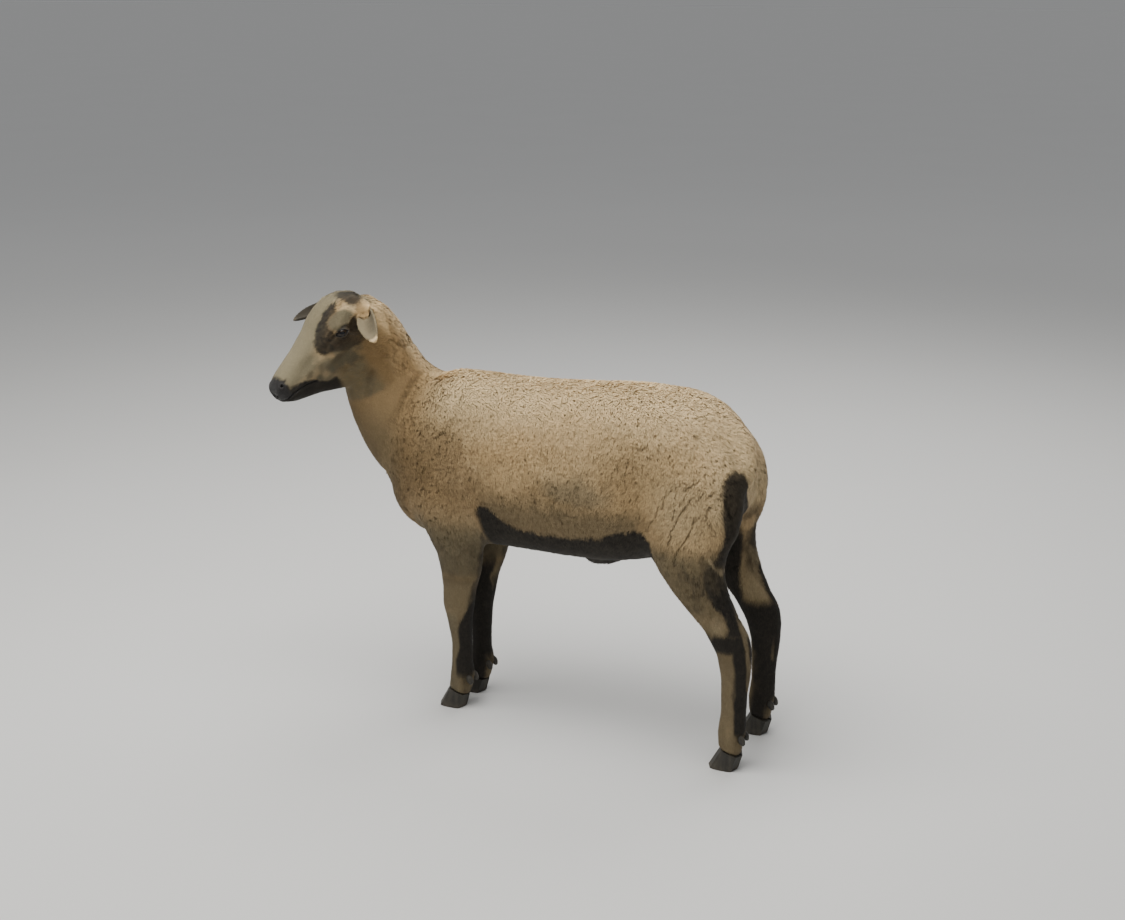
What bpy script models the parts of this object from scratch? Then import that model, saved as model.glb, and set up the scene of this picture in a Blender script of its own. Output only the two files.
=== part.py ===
"""A shorn hill sheep, a young polled badger-faced ram, standing still with its head turned to its left.

The body is made of lofted forms (trunk, neck, head, legs, tail) that are fused into one flesh surface at the
tips of the coat. Thin cuts then part it into named pieces. Eyes, hooves and dewclaws are pieces of their own.

The sheep faces -X, its left side is -Y, and it stands on z = 0. Units are metres.
"""

import itertools
import math

import bmesh
import bpy
import numpy as np
from mathutils import Matrix, Vector

# ---- Driving dimensions ------------------------------------------------------------------------------------

GAP = 0.0003                # clear space left between two pieces that meet
VOXEL = 0.004               # grid on which the forms are fused
SOFTENING = 8               # smoothing passes over the fused surface
BLENDING = 45               # further passes where limbs and neck join the trunk
LEG_TOP = 0.33              # below this height only the first passes reach
BLEND_REACH = 0.05
FLESH_TRIANGLES = 2750      # triangles kept on the whole fused surface
SHARP_ANGLE = math.radians(40)
RING_POINTS = 40            # points around each lofted ring
RING_SPACING = 0.010        # distance between lofted rings

WITHERS_HEIGHT = 0.648      # floor to the top of the coat over the shoulders
LOIN_HEIGHT = 0.656
BELLY_HEIGHT = 0.329
BARREL_HALF_WIDTH = 0.122

SHOULDER_PLACE = (-0.284, 0.066, 0.470)
SHOULDER_RADII = (0.075, 0.040, 0.120)
SHOULDER_LEAN = math.radians(-18)

HEAD_LENGTH = 0.222         # poll to nose
HEAD_YAW = math.radians(64)     # turned to the sheep's left, away from the body's axis
HEAD_PITCH = math.radians(33)   # the skull's long axis dips below level
HEAD_ROLL = math.radians(7)
SKULL_BACK = Vector((-0.457, -0.048, 0.742))    # the back of the skull, on its long axis
HEAD_MIDDLE = (0.08, 0, -0.01)  # in the skull's frame: along, beside and above its long axis
HEAD_REACH = 0.145              # the head keeps its shape this far round its middle

EYE_PLACE = (0.066, 0.0420, 0.018)  # along, beside and above the skull's long axis
EYE_RADIUS = 0.0135

EAR_LENGTH = 0.103
EAR_HALF_WIDTH = 0.029      # measured round the curl
EAR_THICKNESS = 0.0048
EAR_BLUNTNESS = 0.60        # nearer 0, the leaf keeps its width longer towards root and tip
EAR_LEAF = (0.20, 0.975)    # the share of a half turn of the sine that shapes the leaf, from root to tip
EAR_DROOP = 0.10            # how far the tip hangs, as a share of the length
EAR_CURL_ROOT = 105         # degrees that each edge is rolled in at the root
EAR_CURL_TIP = 50
EAR_ROOT = (0.003, 0.042, 0.008)
# In the skull's frame: the way each ear points, the way its hollow side faces, and how far from its root it
# is cut from the head.
EARS = {
    "left": ((0.53, 0.84, -0.03), (0.20, 0.05, 0.95), 0.022),
    "right": ((0.70, -0.59, 0.40), (0.20, -0.05, 0.95), 0.040),
}

FORE_FOOT = (-0.287, 0.042)     # middle of the foot on the floor, and its distance from the middle line
HIND_FOOT = (0.264, 0.078)
RIGHT_FORE_STEP = Vector((0.004, -0.008, 0))    # from the left foot's mirror image to the right foot
RIGHT_HIND_STEP = Vector((0.007, 0, 0))

HOOF_LENGTH = 0.053
HOOF_WIDTH = 0.0195
HOOF_TOE_HEIGHT = 0.039
HOOF_HEEL_HEIGHT = 0.026
HOOF_SPLIT = 0.0025             # half the space between the two claws of a foot
HOOF_WALL_SLOPE = 0.55          # how far the toe wall leans back for each unit of height
HOOF_WIDEST = 0.42              # where the claw is widest, as a share of its length from the heel
HOOF_NARROWING = 0.12           # how much narrower the claw is at its top than at its sole

CORONET_LENGTH = 0.041          # front to back along the top of the hoof
CORONET_SETBACK = 0.015         # the coronet's middle lies this far behind the sole's
CORONET_SPACE = (0.12, 0.066, 0.060)    # length, breadth and depth of the space kept clear for a hoof
DEWCLAW_SETBACK = {"fore": 0.0405, "hind": 0.0350}  # from the middle of the sole back to a dewclaw
DEWCLAW_SPREAD = 0.0115
DEWCLAW_HEIGHT = 0.060
DEWCLAW_RADII = (0.0065, 0.0060, 0.0105)
DEWCLAW_LEAN = math.radians(-25)

HEAD_REGION = ((0.25, 0.10), (-0.045, 0.10), (-0.045, 0.020), (0.050, -0.104), (0.25, -0.104))
HEAD_REGION_HALF_WIDTH = 0.13
JAW_REGION = (
    (0.25, -0.015), (0.140, -0.024), (0.052, -0.060), (0.036, -0.084), (0.046, -0.113), (0.25, -0.113),
)
JAW_REGION_HALF_WIDTH = 0.06
SHEATH_PLACE = (0.002, 0.324)   # along the body, and height
SHEATH_RADII = (0.046, 0.015, 0.0175)
SHEATH_TILT = math.radians(-8)
SHEATH_REGION = (0.12, 0.044, 0.06)     # length, breadth and depth of the sheath's share
SHEATH_CUT = 0.0045             # the sheath is parted this far below the belly
EAR_REGION = (0.066, 0.12)      # breadth and depth of the space beyond a cut: ears, limbs, neck, and trunk
LIMB_REGION = (0.40, 0.35)
NECK_REGION = (0.36, 0.30)
TRUNK_REGION = (0.5, 0.4)
NECK_CUT = (-0.380, 0.0, 0.560)
NECK_CUT_WAY = (-0.95, 0.0, 0.31)
CHEST_CUT = (-0.165, 0.0, 0.5)
RUMP_CUT = (0.092, 0.0, 0.5)
TAIL_REGION = ((0.236, 0.596), (0.255, 0.500), (0.320, 0.500), (0.320, 0.596))
TAIL_SIDES = (-0.062, 0.010)
# The side outline of each leg's share, then its inner edge: height, and distance from the middle.
LEG_REGIONS = {
    "fore": (
        ((-0.352, 0.36), (-0.350, 0.44), (-0.325, 0.49), (-0.285, 0.505), (-0.240, 0.48), (-0.205, 0.42),
         (-0.188, 0.35), (-0.188, 0.0), (-0.345, 0.0)),
        ((0.0, 0.006), (0.320, 0.006), (0.400, 0.040), (0.505, 0.085)),
    ),
    "hind": (
        ((0.108, 0.34), (0.104, 0.42), (0.130, 0.50), (0.180, 0.545), (0.235, 0.540), (0.285, 0.49),
         (0.330, 0.40), (0.340, 0.0), (0.180, 0.0)),
        ((0.0, 0.020), (0.380, 0.020), (0.440, 0.036), (0.545, 0.072)),
    ),
}
LIMB_REACH = 0.22
LEG_CUTS = {"fore": (0.236, 0.0), "hind": (0.268, 28.0)}    # above knee and hock: height, tilt in degrees
PASTERN_CUT = (0.083, 0.0)

LEFT = -1
RIGHT = 1
SIDES = {"left": LEFT, "right": RIGHT}

COLOURS = {
    "tan_wool": ((0.56, 0.40, 0.26, 1.0), 0.92),
    "pale_wool": ((0.68, 0.55, 0.40, 1.0), 0.92),
    "black_wool": ((0.020, 0.017, 0.015, 1.0), 0.88),
    "face_hair": ((0.60, 0.52, 0.40, 1.0), 0.85),
    "hoof_horn": ((0.030, 0.026, 0.022, 1.0), 0.55),
    "eye_ball": ((0.035, 0.020, 0.010, 1.0), 0.12),
}
NODE_MATERIALS = (          # the first entry with a word of the node's name gives its material
    (("hoof_", "dewclaw_"), "hoof_horn"),
    (("eye_",), "eye_ball"),
    (("lower_jaw", "sheath", "foreleg_right", "leg_right_cannon", "leg_right_pastern"), "black_wool"),
    (("head", "ear_"), "face_hair"),
    (("rump", "tail", "hindleg_left_upper"), "pale_wool"),
)


# ---- Scene and mesh helpers --------------------------------------------------------------------------------


def clear_scene():
    for obj in list(bpy.data.objects):
        bpy.data.objects.remove(obj, do_unlink=True)


def make_material(name):
    colour, roughness = COLOURS[name]
    material = bpy.data.materials.new(name)
    material.use_nodes = True
    shader = material.node_tree.nodes["Principled BSDF"]
    shader.inputs["Base Color"].default_value = colour
    shader.inputs["Roughness"].default_value = roughness
    shader.inputs["Metallic"].default_value = 0.0
    return material


def object_from(name, mesh_builder):
    mesh = bpy.data.meshes.new(name)
    mesh_builder.normal_update()
    mesh_builder.to_mesh(mesh)
    mesh_builder.free()
    obj = bpy.data.objects.new(name, mesh)
    bpy.context.collection.objects.link(obj)
    return obj


def discard(objects):
    for obj in objects:
        bpy.data.objects.remove(obj, do_unlink=True)


def apply_modifiers(obj):
    """The object's mesh becomes what its modifiers show."""
    bpy.context.view_layer.update()
    evaluated = obj.evaluated_get(bpy.context.evaluated_depsgraph_get())
    mesh = bpy.data.meshes.new_from_object(evaluated)
    obj.modifiers.clear()
    obj.data = mesh


def joined(name, objects):
    """One object that holds the meshes of several, which are discarded."""
    bm = bmesh.new()
    for obj in objects:
        bm.from_mesh(obj.data)
    discard(objects)
    return object_from(name, bm)


def boolean(obj, cutter, operation):
    modifier = obj.modifiers.new(operation.title(), "BOOLEAN")
    modifier.operation = operation
    modifier.solver = "EXACT"
    modifier.use_self = True
    modifier.object = cutter
    apply_modifiers(obj)
    discard([cutter])


def refined(stations, spacing):
    """Stations, whose first three values are a point, refined along a smooth curve through all of them."""
    stations = np.array(stations, dtype=float)
    steps = np.linalg.norm(np.diff(stations[:, :3], axis=0), axis=1)
    at = np.concatenate([[0.0], np.cumsum(steps)])
    slope = np.gradient(stations, at, axis=0)
    rows = []
    for i, span in enumerate(steps):
        count = max(1, int(round(span / spacing)))
        for k in range(count):
            u = k / count
            start = (1 + 2 * u) * (1 - u) ** 2 * stations[i] + u * (1 - u) ** 2 * span * slope[i]
            end = u * u * (3 - 2 * u) * stations[i + 1] + u * u * (u - 1) * span * slope[i + 1]
            rows.append(start + end)
    rows.append(stations[-1])
    return np.array(rows)


def rounded(value, power):
    """A sine or cosine drawn out towards a rounded square as the power grows past 2."""
    return math.copysign(abs(value) ** (2.0 / power), value)


def skin_rings(name, rings):
    """A closed surface over rings of points, with a fan over each end."""
    bm = bmesh.new()
    loops = [[bm.verts.new(point) for point in ring] for ring in rings]
    for near, far in zip(loops, loops[1:]):
        for i in range(len(near)):
            j = (i + 1) % len(near)
            bm.faces.new((near[i], near[j], far[j], far[i]))
    for loop in (loops[0], loops[-1]):
        middle = bm.verts.new(sum((v.co for v in loop), Vector()) / len(loop))
        for i in range(len(loop)):
            bm.faces.new((loop[i], loop[(i + 1) % len(loop)], middle))
    bmesh.ops.recalc_face_normals(bm, faces=bm.faces)
    return object_from(name, bm)


def loft(name, stations, side, over, side_end=None, upright=False, spacing=RING_SPACING):
    """A form along a spine. A station is x, y, z, reach over, reach under, half width, and rounding power.

    side is the way the width lies and over the way the first reach lies; side_end is side at the far end.
    An upright loft keeps its rings in planes across its first axis.
    """
    rows = refined(stations, spacing)
    points = rows[:, :3]
    tangents = np.gradient(points, axis=0)
    rings = []
    for i, row in enumerate(rows):
        along = Vector((1, 0, 0)) if upright else Vector(tangents[i]).normalized()
        across = Vector(side)
        if side_end:
            across = across.lerp(Vector(side_end), i / (len(rows) - 1))
        across = (across - across.dot(along) * along).normalized()
        rise = along.cross(across)
        if rise.dot(Vector(over)) < 0:
            rise = -rise
        reach_over, reach_under, half_width, power = row[3:7]
        ring = []
        for k in range(RING_POINTS):
            angle = 2 * math.pi * k / RING_POINTS
            lift = rounded(math.cos(angle), power)
            reach = reach_over if lift > 0 else reach_under
            point = Vector(row[:3]) + rise * lift * reach
            ring.append(point + across * rounded(math.sin(angle), power) * half_width)
        rings.append(ring)
    return skin_rings(name, rings)


def ellipsoid(name, centre, radii, turn=None, segments=20, rings=12):
    bm = bmesh.new()
    bmesh.ops.create_uvsphere(bm, u_segments=segments, v_segments=rings, radius=1.0)
    matrix = Matrix.Translation(centre)
    if turn:
        matrix = matrix @ turn.to_4x4()
    matrix = matrix @ Matrix.Diagonal((*radii, 1.0))
    bmesh.ops.transform(bm, matrix=matrix, verts=bm.verts)
    return object_from(name, bm)


# ---- The skull's own frame ---------------------------------------------------------------------------------


def head_matrix():
    """From the skull's frame (x to the nose, y to its left, z to the forehead) to the world."""
    forward = Vector((-math.cos(HEAD_YAW), -math.sin(HEAD_YAW), 0)) * math.cos(HEAD_PITCH)
    forward.z = -math.sin(HEAD_PITCH)
    left = Vector((math.sin(HEAD_YAW), -math.cos(HEAD_YAW), 0))
    turn = Matrix((forward, left, forward.cross(left))).transposed()
    turn = turn @ Matrix.Rotation(HEAD_ROLL, 3, "X")
    return Matrix.Translation(SKULL_BACK) @ turn.to_4x4()


def to_world(obj):
    obj.data.transform(head_matrix())
    return obj


def in_skull(point):
    return head_matrix() @ Vector(point)


def skull_way(direction):
    return (head_matrix().to_3x3() @ Vector(direction)).normalized()


# ---- Forms of the flesh ------------------------------------------------------------------------------------


def trunk_form():
    """Stations from the breast to the rump: x, y, height of the widest place, up, down, half width, power."""
    w = BARREL_HALF_WIDTH
    rows = [
        (-0.412, 0.425, 0.462, 0.388, 0.30 * w, 2.0),
        (-0.392, 0.43, 0.525, 0.360, 0.55 * w, 2.0),
        (-0.358, 0.44, 0.592, 0.340, 0.72 * w, 2.1),
        (-0.310, 0.455, WITHERS_HEIGHT - 0.006, 0.330, 0.83 * w, 2.1),
        (-0.250, 0.465, WITHERS_HEIGHT, BELLY_HEIGHT + 0.001, 0.91 * w, 2.2),
        (-0.180, 0.470, WITHERS_HEIGHT - 0.003, BELLY_HEIGHT, 0.95 * w, 2.3),
        (-0.100, 0.475, 0.645, BELLY_HEIGHT, 0.98 * w, 2.35),
        (-0.020, 0.475, 0.650, BELLY_HEIGHT, w, 2.35),
        (0.060, 0.480, LOIN_HEIGHT, BELLY_HEIGHT + 0.007, w, 2.4),
        (0.120, 0.490, LOIN_HEIGHT - 0.001, BELLY_HEIGHT + 0.024, 0.97 * w, 2.4),
        (0.170, 0.500, LOIN_HEIGHT - 0.005, 0.380, 0.93 * w, 2.3),
        (0.210, 0.505, 0.636, 0.405, 0.86 * w, 2.2),
        (0.240, 0.500, 0.612, 0.425, 0.74 * w, 2.1),
        (0.262, 0.500, 0.578, 0.440, 0.58 * w, 2.0),
        (0.275, 0.500, 0.545, 0.455, 0.36 * w, 2.0),
    ]
    stations = [(x, 0, mid, top - mid, mid - low, wide, power) for x, mid, top, low, wide, power in rows]
    return loft("trunk_form", stations, side=(0, 1, 0), over=(0, 0, 1), upright=True)


def neck_form():
    """Stations up the neck's spine, which bends to the left under the skull."""
    stations = [
        (-0.240, 0.000, 0.475, 0.145, 0.140, 0.100, 2.1),
        (-0.318, 0.000, 0.512, 0.126, 0.128, 0.092, 2.1),
        (-0.378, -0.002, 0.560, 0.098, 0.114, 0.080, 2.1),
        (-0.416, -0.007, 0.612, 0.076, 0.094, 0.070, 2.0),
        (-0.434, -0.018, 0.664, 0.064, 0.080, 0.063, 2.0),
        (-0.444, -0.034, 0.708, 0.056, 0.068, 0.057, 2.0),
        (-0.458, -0.054, 0.744, 0.050, 0.052, 0.047, 2.0),
    ]
    turned = skull_way((0, 1, 0))
    return loft("neck_form", stations, side=(0, -1, 0), over=(0.6, 0, 0.8), side_end=turned)


def head_forms():
    """Skull, lower jaw, cheeks, brows and lips, placed in the skull's frame."""
    skull = [
        (-0.014, 0.010, 0.038, 0.050, 0.038, 2.0),
        (0.008, 0.016, 0.048, 0.060, 0.046, 2.1),
        (0.030, 0.020, 0.051, 0.066, 0.050, 2.2),
        (0.055, 0.021, 0.049, 0.068, 0.051, 2.2),
        (0.080, 0.019, 0.044, 0.062, 0.049, 2.2),
        (0.100, 0.015, 0.039, 0.054, 0.044, 2.2),
        (0.120, 0.010, 0.038, 0.044, 0.039, 2.2),
        (0.145, 0.005, 0.036, 0.036, 0.034, 2.2),
        (0.170, 0.001, 0.035, 0.030, 0.031, 2.3),
        (0.190, -0.001, 0.031, 0.027, 0.030, 2.4),
        (0.205, -0.001, 0.026, 0.025, 0.029, 2.4),
        (0.216, -0.001, 0.017, 0.020, 0.024, 2.3),
        (HEAD_LENGTH, -0.003, 0.008, 0.010, 0.013, 2.0),
    ]
    jaw = [
        (0.000, -0.044, 0.034, 0.038, 0.030, 2.0),
        (0.030, -0.055, 0.036, 0.044, 0.035, 2.1),
        (0.060, -0.056, 0.036, 0.045, 0.035, 2.1),
        (0.090, -0.050, 0.034, 0.041, 0.031, 2.1),
        (0.120, -0.041, 0.030, 0.034, 0.027, 2.1),
        (0.145, -0.033, 0.023, 0.027, 0.025, 2.1),
        (0.170, -0.026, 0.018, 0.020, 0.024, 2.1),
        (0.190, -0.022, 0.014, 0.015, 0.022, 2.1),
        (0.202, -0.021, 0.010, 0.012, 0.018, 2.0),
        (0.209, -0.021, 0.005, 0.006, 0.010, 2.0),
    ]
    forms = []
    for name, rows in (("skull_form", skull), ("jaw_form", jaw)):
        stations = [(x, 0, z, up, down, wide, power) for x, z, up, down, wide, power in rows]
        forms.append(loft(name, stations, (0, 1, 0), (0, 0, 1), upright=True, spacing=0.006))
    forms.append(ellipsoid("throat_form", (0.026, 0.000, -0.070), (0.050, 0.036, 0.042)))
    forms.append(ellipsoid("nape_form", (-0.014, 0.000, 0.000), (0.031, 0.034, 0.031)))
    for side in (1, -1):
        forms.append(ellipsoid("jowl_form", (0.090, side * 0.024, -0.022), (0.050, 0.019, 0.030)))
        forms.append(ellipsoid("cheek_form", (0.054, side * 0.032, -0.038), (0.044, 0.017, 0.048)))
        forms.append(ellipsoid("brow_form", (0.064, side * 0.038, 0.029), (0.026, 0.0165, 0.018)))
        forms.append(ellipsoid("cheekbone_form", (0.078, side * 0.034, -0.004), (0.048, 0.014, 0.014)))
        forms.append(ellipsoid("lip_form", (0.196, side * 0.015, -0.014), (0.023, 0.016, 0.014)))
        forms.append(ellipsoid("nostril_form", (0.207, side * 0.013, 0.006), (0.014, 0.013, 0.014)))
        forms.append(ellipsoid("ear_root_form", (0.010, side * 0.037, 0.012), (0.022, 0.020, 0.021)))
    return [to_world(form) for form in forms]


def stepped(rows, side, step, still, full):
    """A leg's stations on one side. The right leg leans by its step, down to the full height."""
    stations = []
    for x, y, z, *rest in rows:
        share = min(1.0, max(0.0, (still - z) / (still - full))) if side == RIGHT else 0.0
        stations.append((x + share * step.x, side * y + share * step.y, z, *rest))
    return stations


def foreleg_form(side):
    """Stations down the foreleg, front reach first: shoulder, elbow, forearm, knee, cannon, fetlock."""
    foot = FORE_FOOT[1]
    rows = [
        (-0.288, 0.040, 0.560, 0.050, 0.050, 0.020, 2.0),
        (-0.288, 0.058, 0.500, 0.070, 0.074, 0.038, 2.1),
        (-0.283, 0.068, 0.430, 0.068, 0.072, 0.041, 2.1),
        (-0.268, 0.068, 0.375, 0.056, 0.062, 0.038, 2.1),
        (-0.257, 0.062, 0.330, 0.049, 0.046, 0.033, 2.1),
        (-0.259, 0.056, 0.290, 0.042, 0.042, 0.029, 2.1),
        (-0.265, 0.050, 0.245, 0.033, 0.033, 0.025, 2.2),
        (-0.268, 0.047, 0.208, 0.031, 0.029, 0.0245, 2.3),
        (-0.268, 0.045, 0.178, 0.025, 0.024, 0.020, 2.2),
        (-0.267, foot, 0.140, 0.0215, 0.0215, 0.0175, 2.1),
        (-0.267, foot, 0.090, 0.0215, 0.0215, 0.0175, 2.1),
        (-0.267, foot, 0.064, 0.0235, 0.0255, 0.0215, 2.2),
        (-0.270, foot, 0.046, 0.0215, 0.0225, 0.0205, 2.2),
        (-0.273, foot, 0.032, 0.0235, 0.0225, 0.0215, 2.2),
        (-0.277, foot, 0.016, 0.0235, 0.0225, 0.0215, 2.2),
    ]
    stations = stepped(rows, side, RIGHT_FORE_STEP, 0.300, 0.090)
    return loft("foreleg_form", stations, side=(0, 1, 0), over=(-1, 0, 0))


def hindleg_form(side):
    """Stations down the hind leg, front reach first: thigh, stifle, gaskin, hock, cannon, fetlock."""
    foot = HIND_FOOT[1]
    rows = [
        (0.185, 0.040, 0.610, 0.040, 0.035, 0.018, 2.0),
        (0.190, 0.056, 0.560, 0.074, 0.068, 0.036, 2.1),
        (0.196, 0.068, 0.510, 0.092, 0.086, 0.047, 2.2),
        (0.196, 0.074, 0.450, 0.094, 0.086, 0.050, 2.2),
        (0.193, 0.080, 0.400, 0.078, 0.074, 0.045, 2.2),
        (0.205, 0.082, 0.350, 0.055, 0.056, 0.036, 2.1),
        (0.226, 0.081, 0.308, 0.040, 0.044, 0.029, 2.1),
        (0.252, 0.079, 0.268, 0.034, 0.035, 0.0245, 2.2),
        (0.273, foot, 0.232, 0.034, 0.035, 0.0240, 2.3),
        (0.280, foot, 0.190, 0.029, 0.030, 0.0210, 2.2),
        (0.2795, foot, 0.145, 0.025, 0.026, 0.0175, 2.1),
        (0.279, foot, 0.095, 0.0245, 0.025, 0.0175, 2.1),
        (0.277, foot, 0.066, 0.0255, 0.0265, 0.0215, 2.2),
        (0.276, foot, 0.047, 0.0225, 0.0225, 0.0205, 2.2),
        (0.275, foot, 0.032, 0.0235, 0.0225, 0.0215, 2.2),
        (0.272, foot, 0.016, 0.0235, 0.0225, 0.0215, 2.2),
    ]
    stations = stepped(rows, side, RIGHT_HIND_STEP, 0.420, 0.340)
    return loft("hindleg_form", stations, side=(0, 1, 0), over=(-1, 0, 0))


def tail_form():
    stations = [
        (0.215, 0, 0.600, 0.020, 0.020, 0.026, 2.0),
        (0.246, -0.010, 0.590, 0.021, 0.021, 0.026, 2.0),
        (0.267, -0.022, 0.568, 0.020, 0.020, 0.024, 2.0),
        (0.278, -0.034, 0.542, 0.017, 0.017, 0.021, 2.0),
        (0.282, -0.040, 0.516, 0.013, 0.013, 0.016, 2.0),
        (0.282, -0.042, 0.504, 0.006, 0.006, 0.008, 2.0),
    ]
    return loft("tail_form", stations, side=(0, 1, 0), over=(1, 0, 0.3))


def sheath_form():
    tilt = Matrix.Rotation(SHEATH_TILT, 3, "Y")
    x, z = SHEATH_PLACE
    return ellipsoid("sheath_form", (x, 0, z), SHEATH_RADII, tilt)


def shoulder_forms():
    x, y, z = SHOULDER_PLACE
    lean = Matrix.Rotation(SHOULDER_LEAN, 3, "Y")
    return [ellipsoid("shoulder_form", (x, side * y, z), SHOULDER_RADII, lean) for side in SIDES.values()]


def ear_frame(side_name):
    """An ear's root and its three ways: along it, out of its hollow side, and across it."""
    lean, face = (Vector(way) for way in EARS[side_name][:2])
    lean.normalize()
    face = (face - face.dot(lean) * lean).normalized()
    root = Vector((EAR_ROOT[0], math.copysign(EAR_ROOT[1], lean.y), EAR_ROOT[2]))
    return root, lean, face, lean.cross(face)


def ear_form(side_name):
    """A leaf-shaped shell, rolled at its root and open on its hollow side."""
    root, lean, face, wide = ear_frame(side_name)
    steps = 9
    arc = 5
    rings = []
    for i in range(steps + 1):
        u = i / steps
        turn = EAR_LEAF[0] + (EAR_LEAF[1] - EAR_LEAF[0]) * u
        half = EAR_HALF_WIDTH * math.sin(math.pi * turn) ** EAR_BLUNTNESS
        curl = math.radians(EAR_CURL_ROOT + (EAR_CURL_TIP - EAR_CURL_ROOT) * u)
        radius = half / curl
        thick = min(EAR_THICKNESS, 0.8 * radius)
        centre = root + lean * (u * EAR_LENGTH) + Vector((0, 0, -EAR_DROOP * EAR_LENGTH * u * u))
        ring = []
        for surface_radius, order in ((radius, 1), (radius - thick, -1)):
            for k in range(arc + 1):
                angle = order * curl * (2 * k / arc - 1)
                place = centre + wide * (surface_radius * math.sin(angle))
                ring.append(place + face * (radius - surface_radius * math.cos(angle)))
        rings.append(ring)
    return to_world(skin_rings(f"ear_{side_name}", rings))


def fused_flesh():
    """The body's forms, without the ears, as one softened surface with few triangles."""
    forms = [trunk_form(), neck_form(), tail_form(), sheath_form()]
    forms += head_forms()
    forms += shoulder_forms()
    for side in SIDES.values():
        forms += [foreleg_form(side), hindleg_form(side)]
    flesh = joined("flesh", forms)
    remesh = flesh.modifiers.new("Fuse", "REMESH")
    remesh.mode = "VOXEL"
    remesh.voxel_size = VOXEL
    remesh.adaptivity = 0.0
    soften = flesh.modifiers.new("Soften", "SMOOTH")
    soften.factor = 0.5
    soften.iterations = SOFTENING
    apply_modifiers(flesh)
    blend_trunk(flesh)
    thin_out(flesh)
    return flesh


def blend_trunk(flesh):
    """Softens the joins of shoulder, thigh and neck with the trunk, but not the legs or the head."""
    trunk = flesh.vertex_groups.new(name="trunk")
    middle = in_skull(HEAD_MIDDLE)
    for vertex in flesh.data.vertices:
        off_legs = (vertex.co.z - LEG_TOP) / BLEND_REACH
        off_head = ((vertex.co - middle).length - HEAD_REACH) / BLEND_REACH
        weight = min(1.0, off_legs, off_head)
        if weight > 0.0:
            trunk.add([vertex.index], weight, "REPLACE")
    blend = flesh.modifiers.new("Blend", "SMOOTH")
    blend.factor = 0.5
    blend.iterations = BLENDING
    blend.vertex_group = "trunk"
    apply_modifiers(flesh)
    flesh.vertex_groups.clear()


def thin_out(flesh):
    """Fewer triangles, with most of them where the surface bends most."""
    thin = flesh.modifiers.new("Thin", "DECIMATE")
    thin.ratio = FLESH_TRIANGLES / (2.0 * len(flesh.data.polygons))
    apply_modifiers(flesh)


# ---- Hooves, dewclaws and eyes -----------------------------------------------------------------------------


def feet():
    """Each foot: its name, side, and the middle of its sole."""
    found = []
    for end, (x, y) in (("fore", FORE_FOOT), ("hind", HIND_FOOT)):
        for side_name, side in SIDES.items():
            step = {"fore": RIGHT_FORE_STEP, "hind": RIGHT_HIND_STEP}[end] if side == RIGHT else Vector()
            found.append((f"{end}_{side_name}", side, Vector((x, side * y, 0.0)) + step))
    return found


def hoof_claw(name, centre, outward):
    """One claw of a cloven hoof: flat sole, sloping toe wall, rounded outer wall, nearly flat inner wall."""
    heel = centre.x + 0.5 * HOOF_LENGTH
    levels = 2
    steps = 7
    rings = []
    for level in range(levels + 1):
        f = level / levels
        outer = []
        inner = []
        for k in range(steps + 1):
            u = k / steps
            top = HOOF_HEEL_HEIGHT + (HOOF_TOE_HEIGHT - HOOF_HEEL_HEIGHT) * u
            height = f * top
            x = heel - u * HOOF_LENGTH + HOOF_WALL_SLOPE * height * (0.5 + 0.5 * u)
            reach = HOOF_WIDEST if u < HOOF_WIDEST else 1 - HOOF_WIDEST
            breadth = math.sqrt(max(0.0, 1 - ((u - HOOF_WIDEST) / reach) ** 4))
            spread = HOOF_WIDTH * breadth * (1 - HOOF_NARROWING * f)
            hollow = HOOF_NARROWING * HOOF_WIDTH * (1 - breadth)
            outer.append(Vector((x, centre.y + outward * (HOOF_SPLIT + spread), height)))
            inner.append(Vector((x, centre.y + outward * (HOOF_SPLIT + hollow), height)))
        ring = outer + inner[-2:0:-1]
        rings.append(ring)
    return skin_rings(name, rings)


def coronet_region(foot, margin):
    """Everything of a foot below the top of its hoof, tilted like the coronet."""
    tilt = math.atan2(HOOF_TOE_HEIGHT - HOOF_HEEL_HEIGHT, CORONET_LENGTH)
    middle = foot + Vector((CORONET_SETBACK, 0, 0.5 * (HOOF_TOE_HEIGHT + HOOF_HEEL_HEIGHT)))
    turn = Matrix.Rotation(tilt, 3, "Y")
    centre = middle - turn @ Vector((0, 0, 0.5 * CORONET_SPACE[2] - margin))
    return block("coronet_region", centre, turn, CORONET_SPACE)


def dewclaw(name, end, foot, outward, grow=0.0):
    centre = foot + Vector((DEWCLAW_SETBACK[end], outward * DEWCLAW_SPREAD, DEWCLAW_HEIGHT))
    lean = Matrix.Rotation(DEWCLAW_LEAN, 3, "Y")
    radii = [radius + grow for radius in DEWCLAW_RADII]
    return ellipsoid(name, centre, radii, lean, segments=7, rings=5)


def eye(name, side, grow=0.0):
    centre = in_skull((EYE_PLACE[0], side * EYE_PLACE[1], EYE_PLACE[2]))
    radius = EYE_RADIUS + grow
    return ellipsoid(name, centre, (radius, radius, radius), segments=14, rings=9)


# ---- Parting the flesh -------------------------------------------------------------------------------------


def block(name, centre, turn, size):
    """A box whose axes are the columns of turn."""
    bm = bmesh.new()
    bmesh.ops.create_cube(bm, size=1.0)
    matrix = Matrix.Translation(centre) @ turn.to_4x4() @ Matrix.Diagonal((*size, 1.0))
    bmesh.ops.transform(bm, matrix=matrix, verts=bm.verts)
    return object_from(name, bm)


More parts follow.
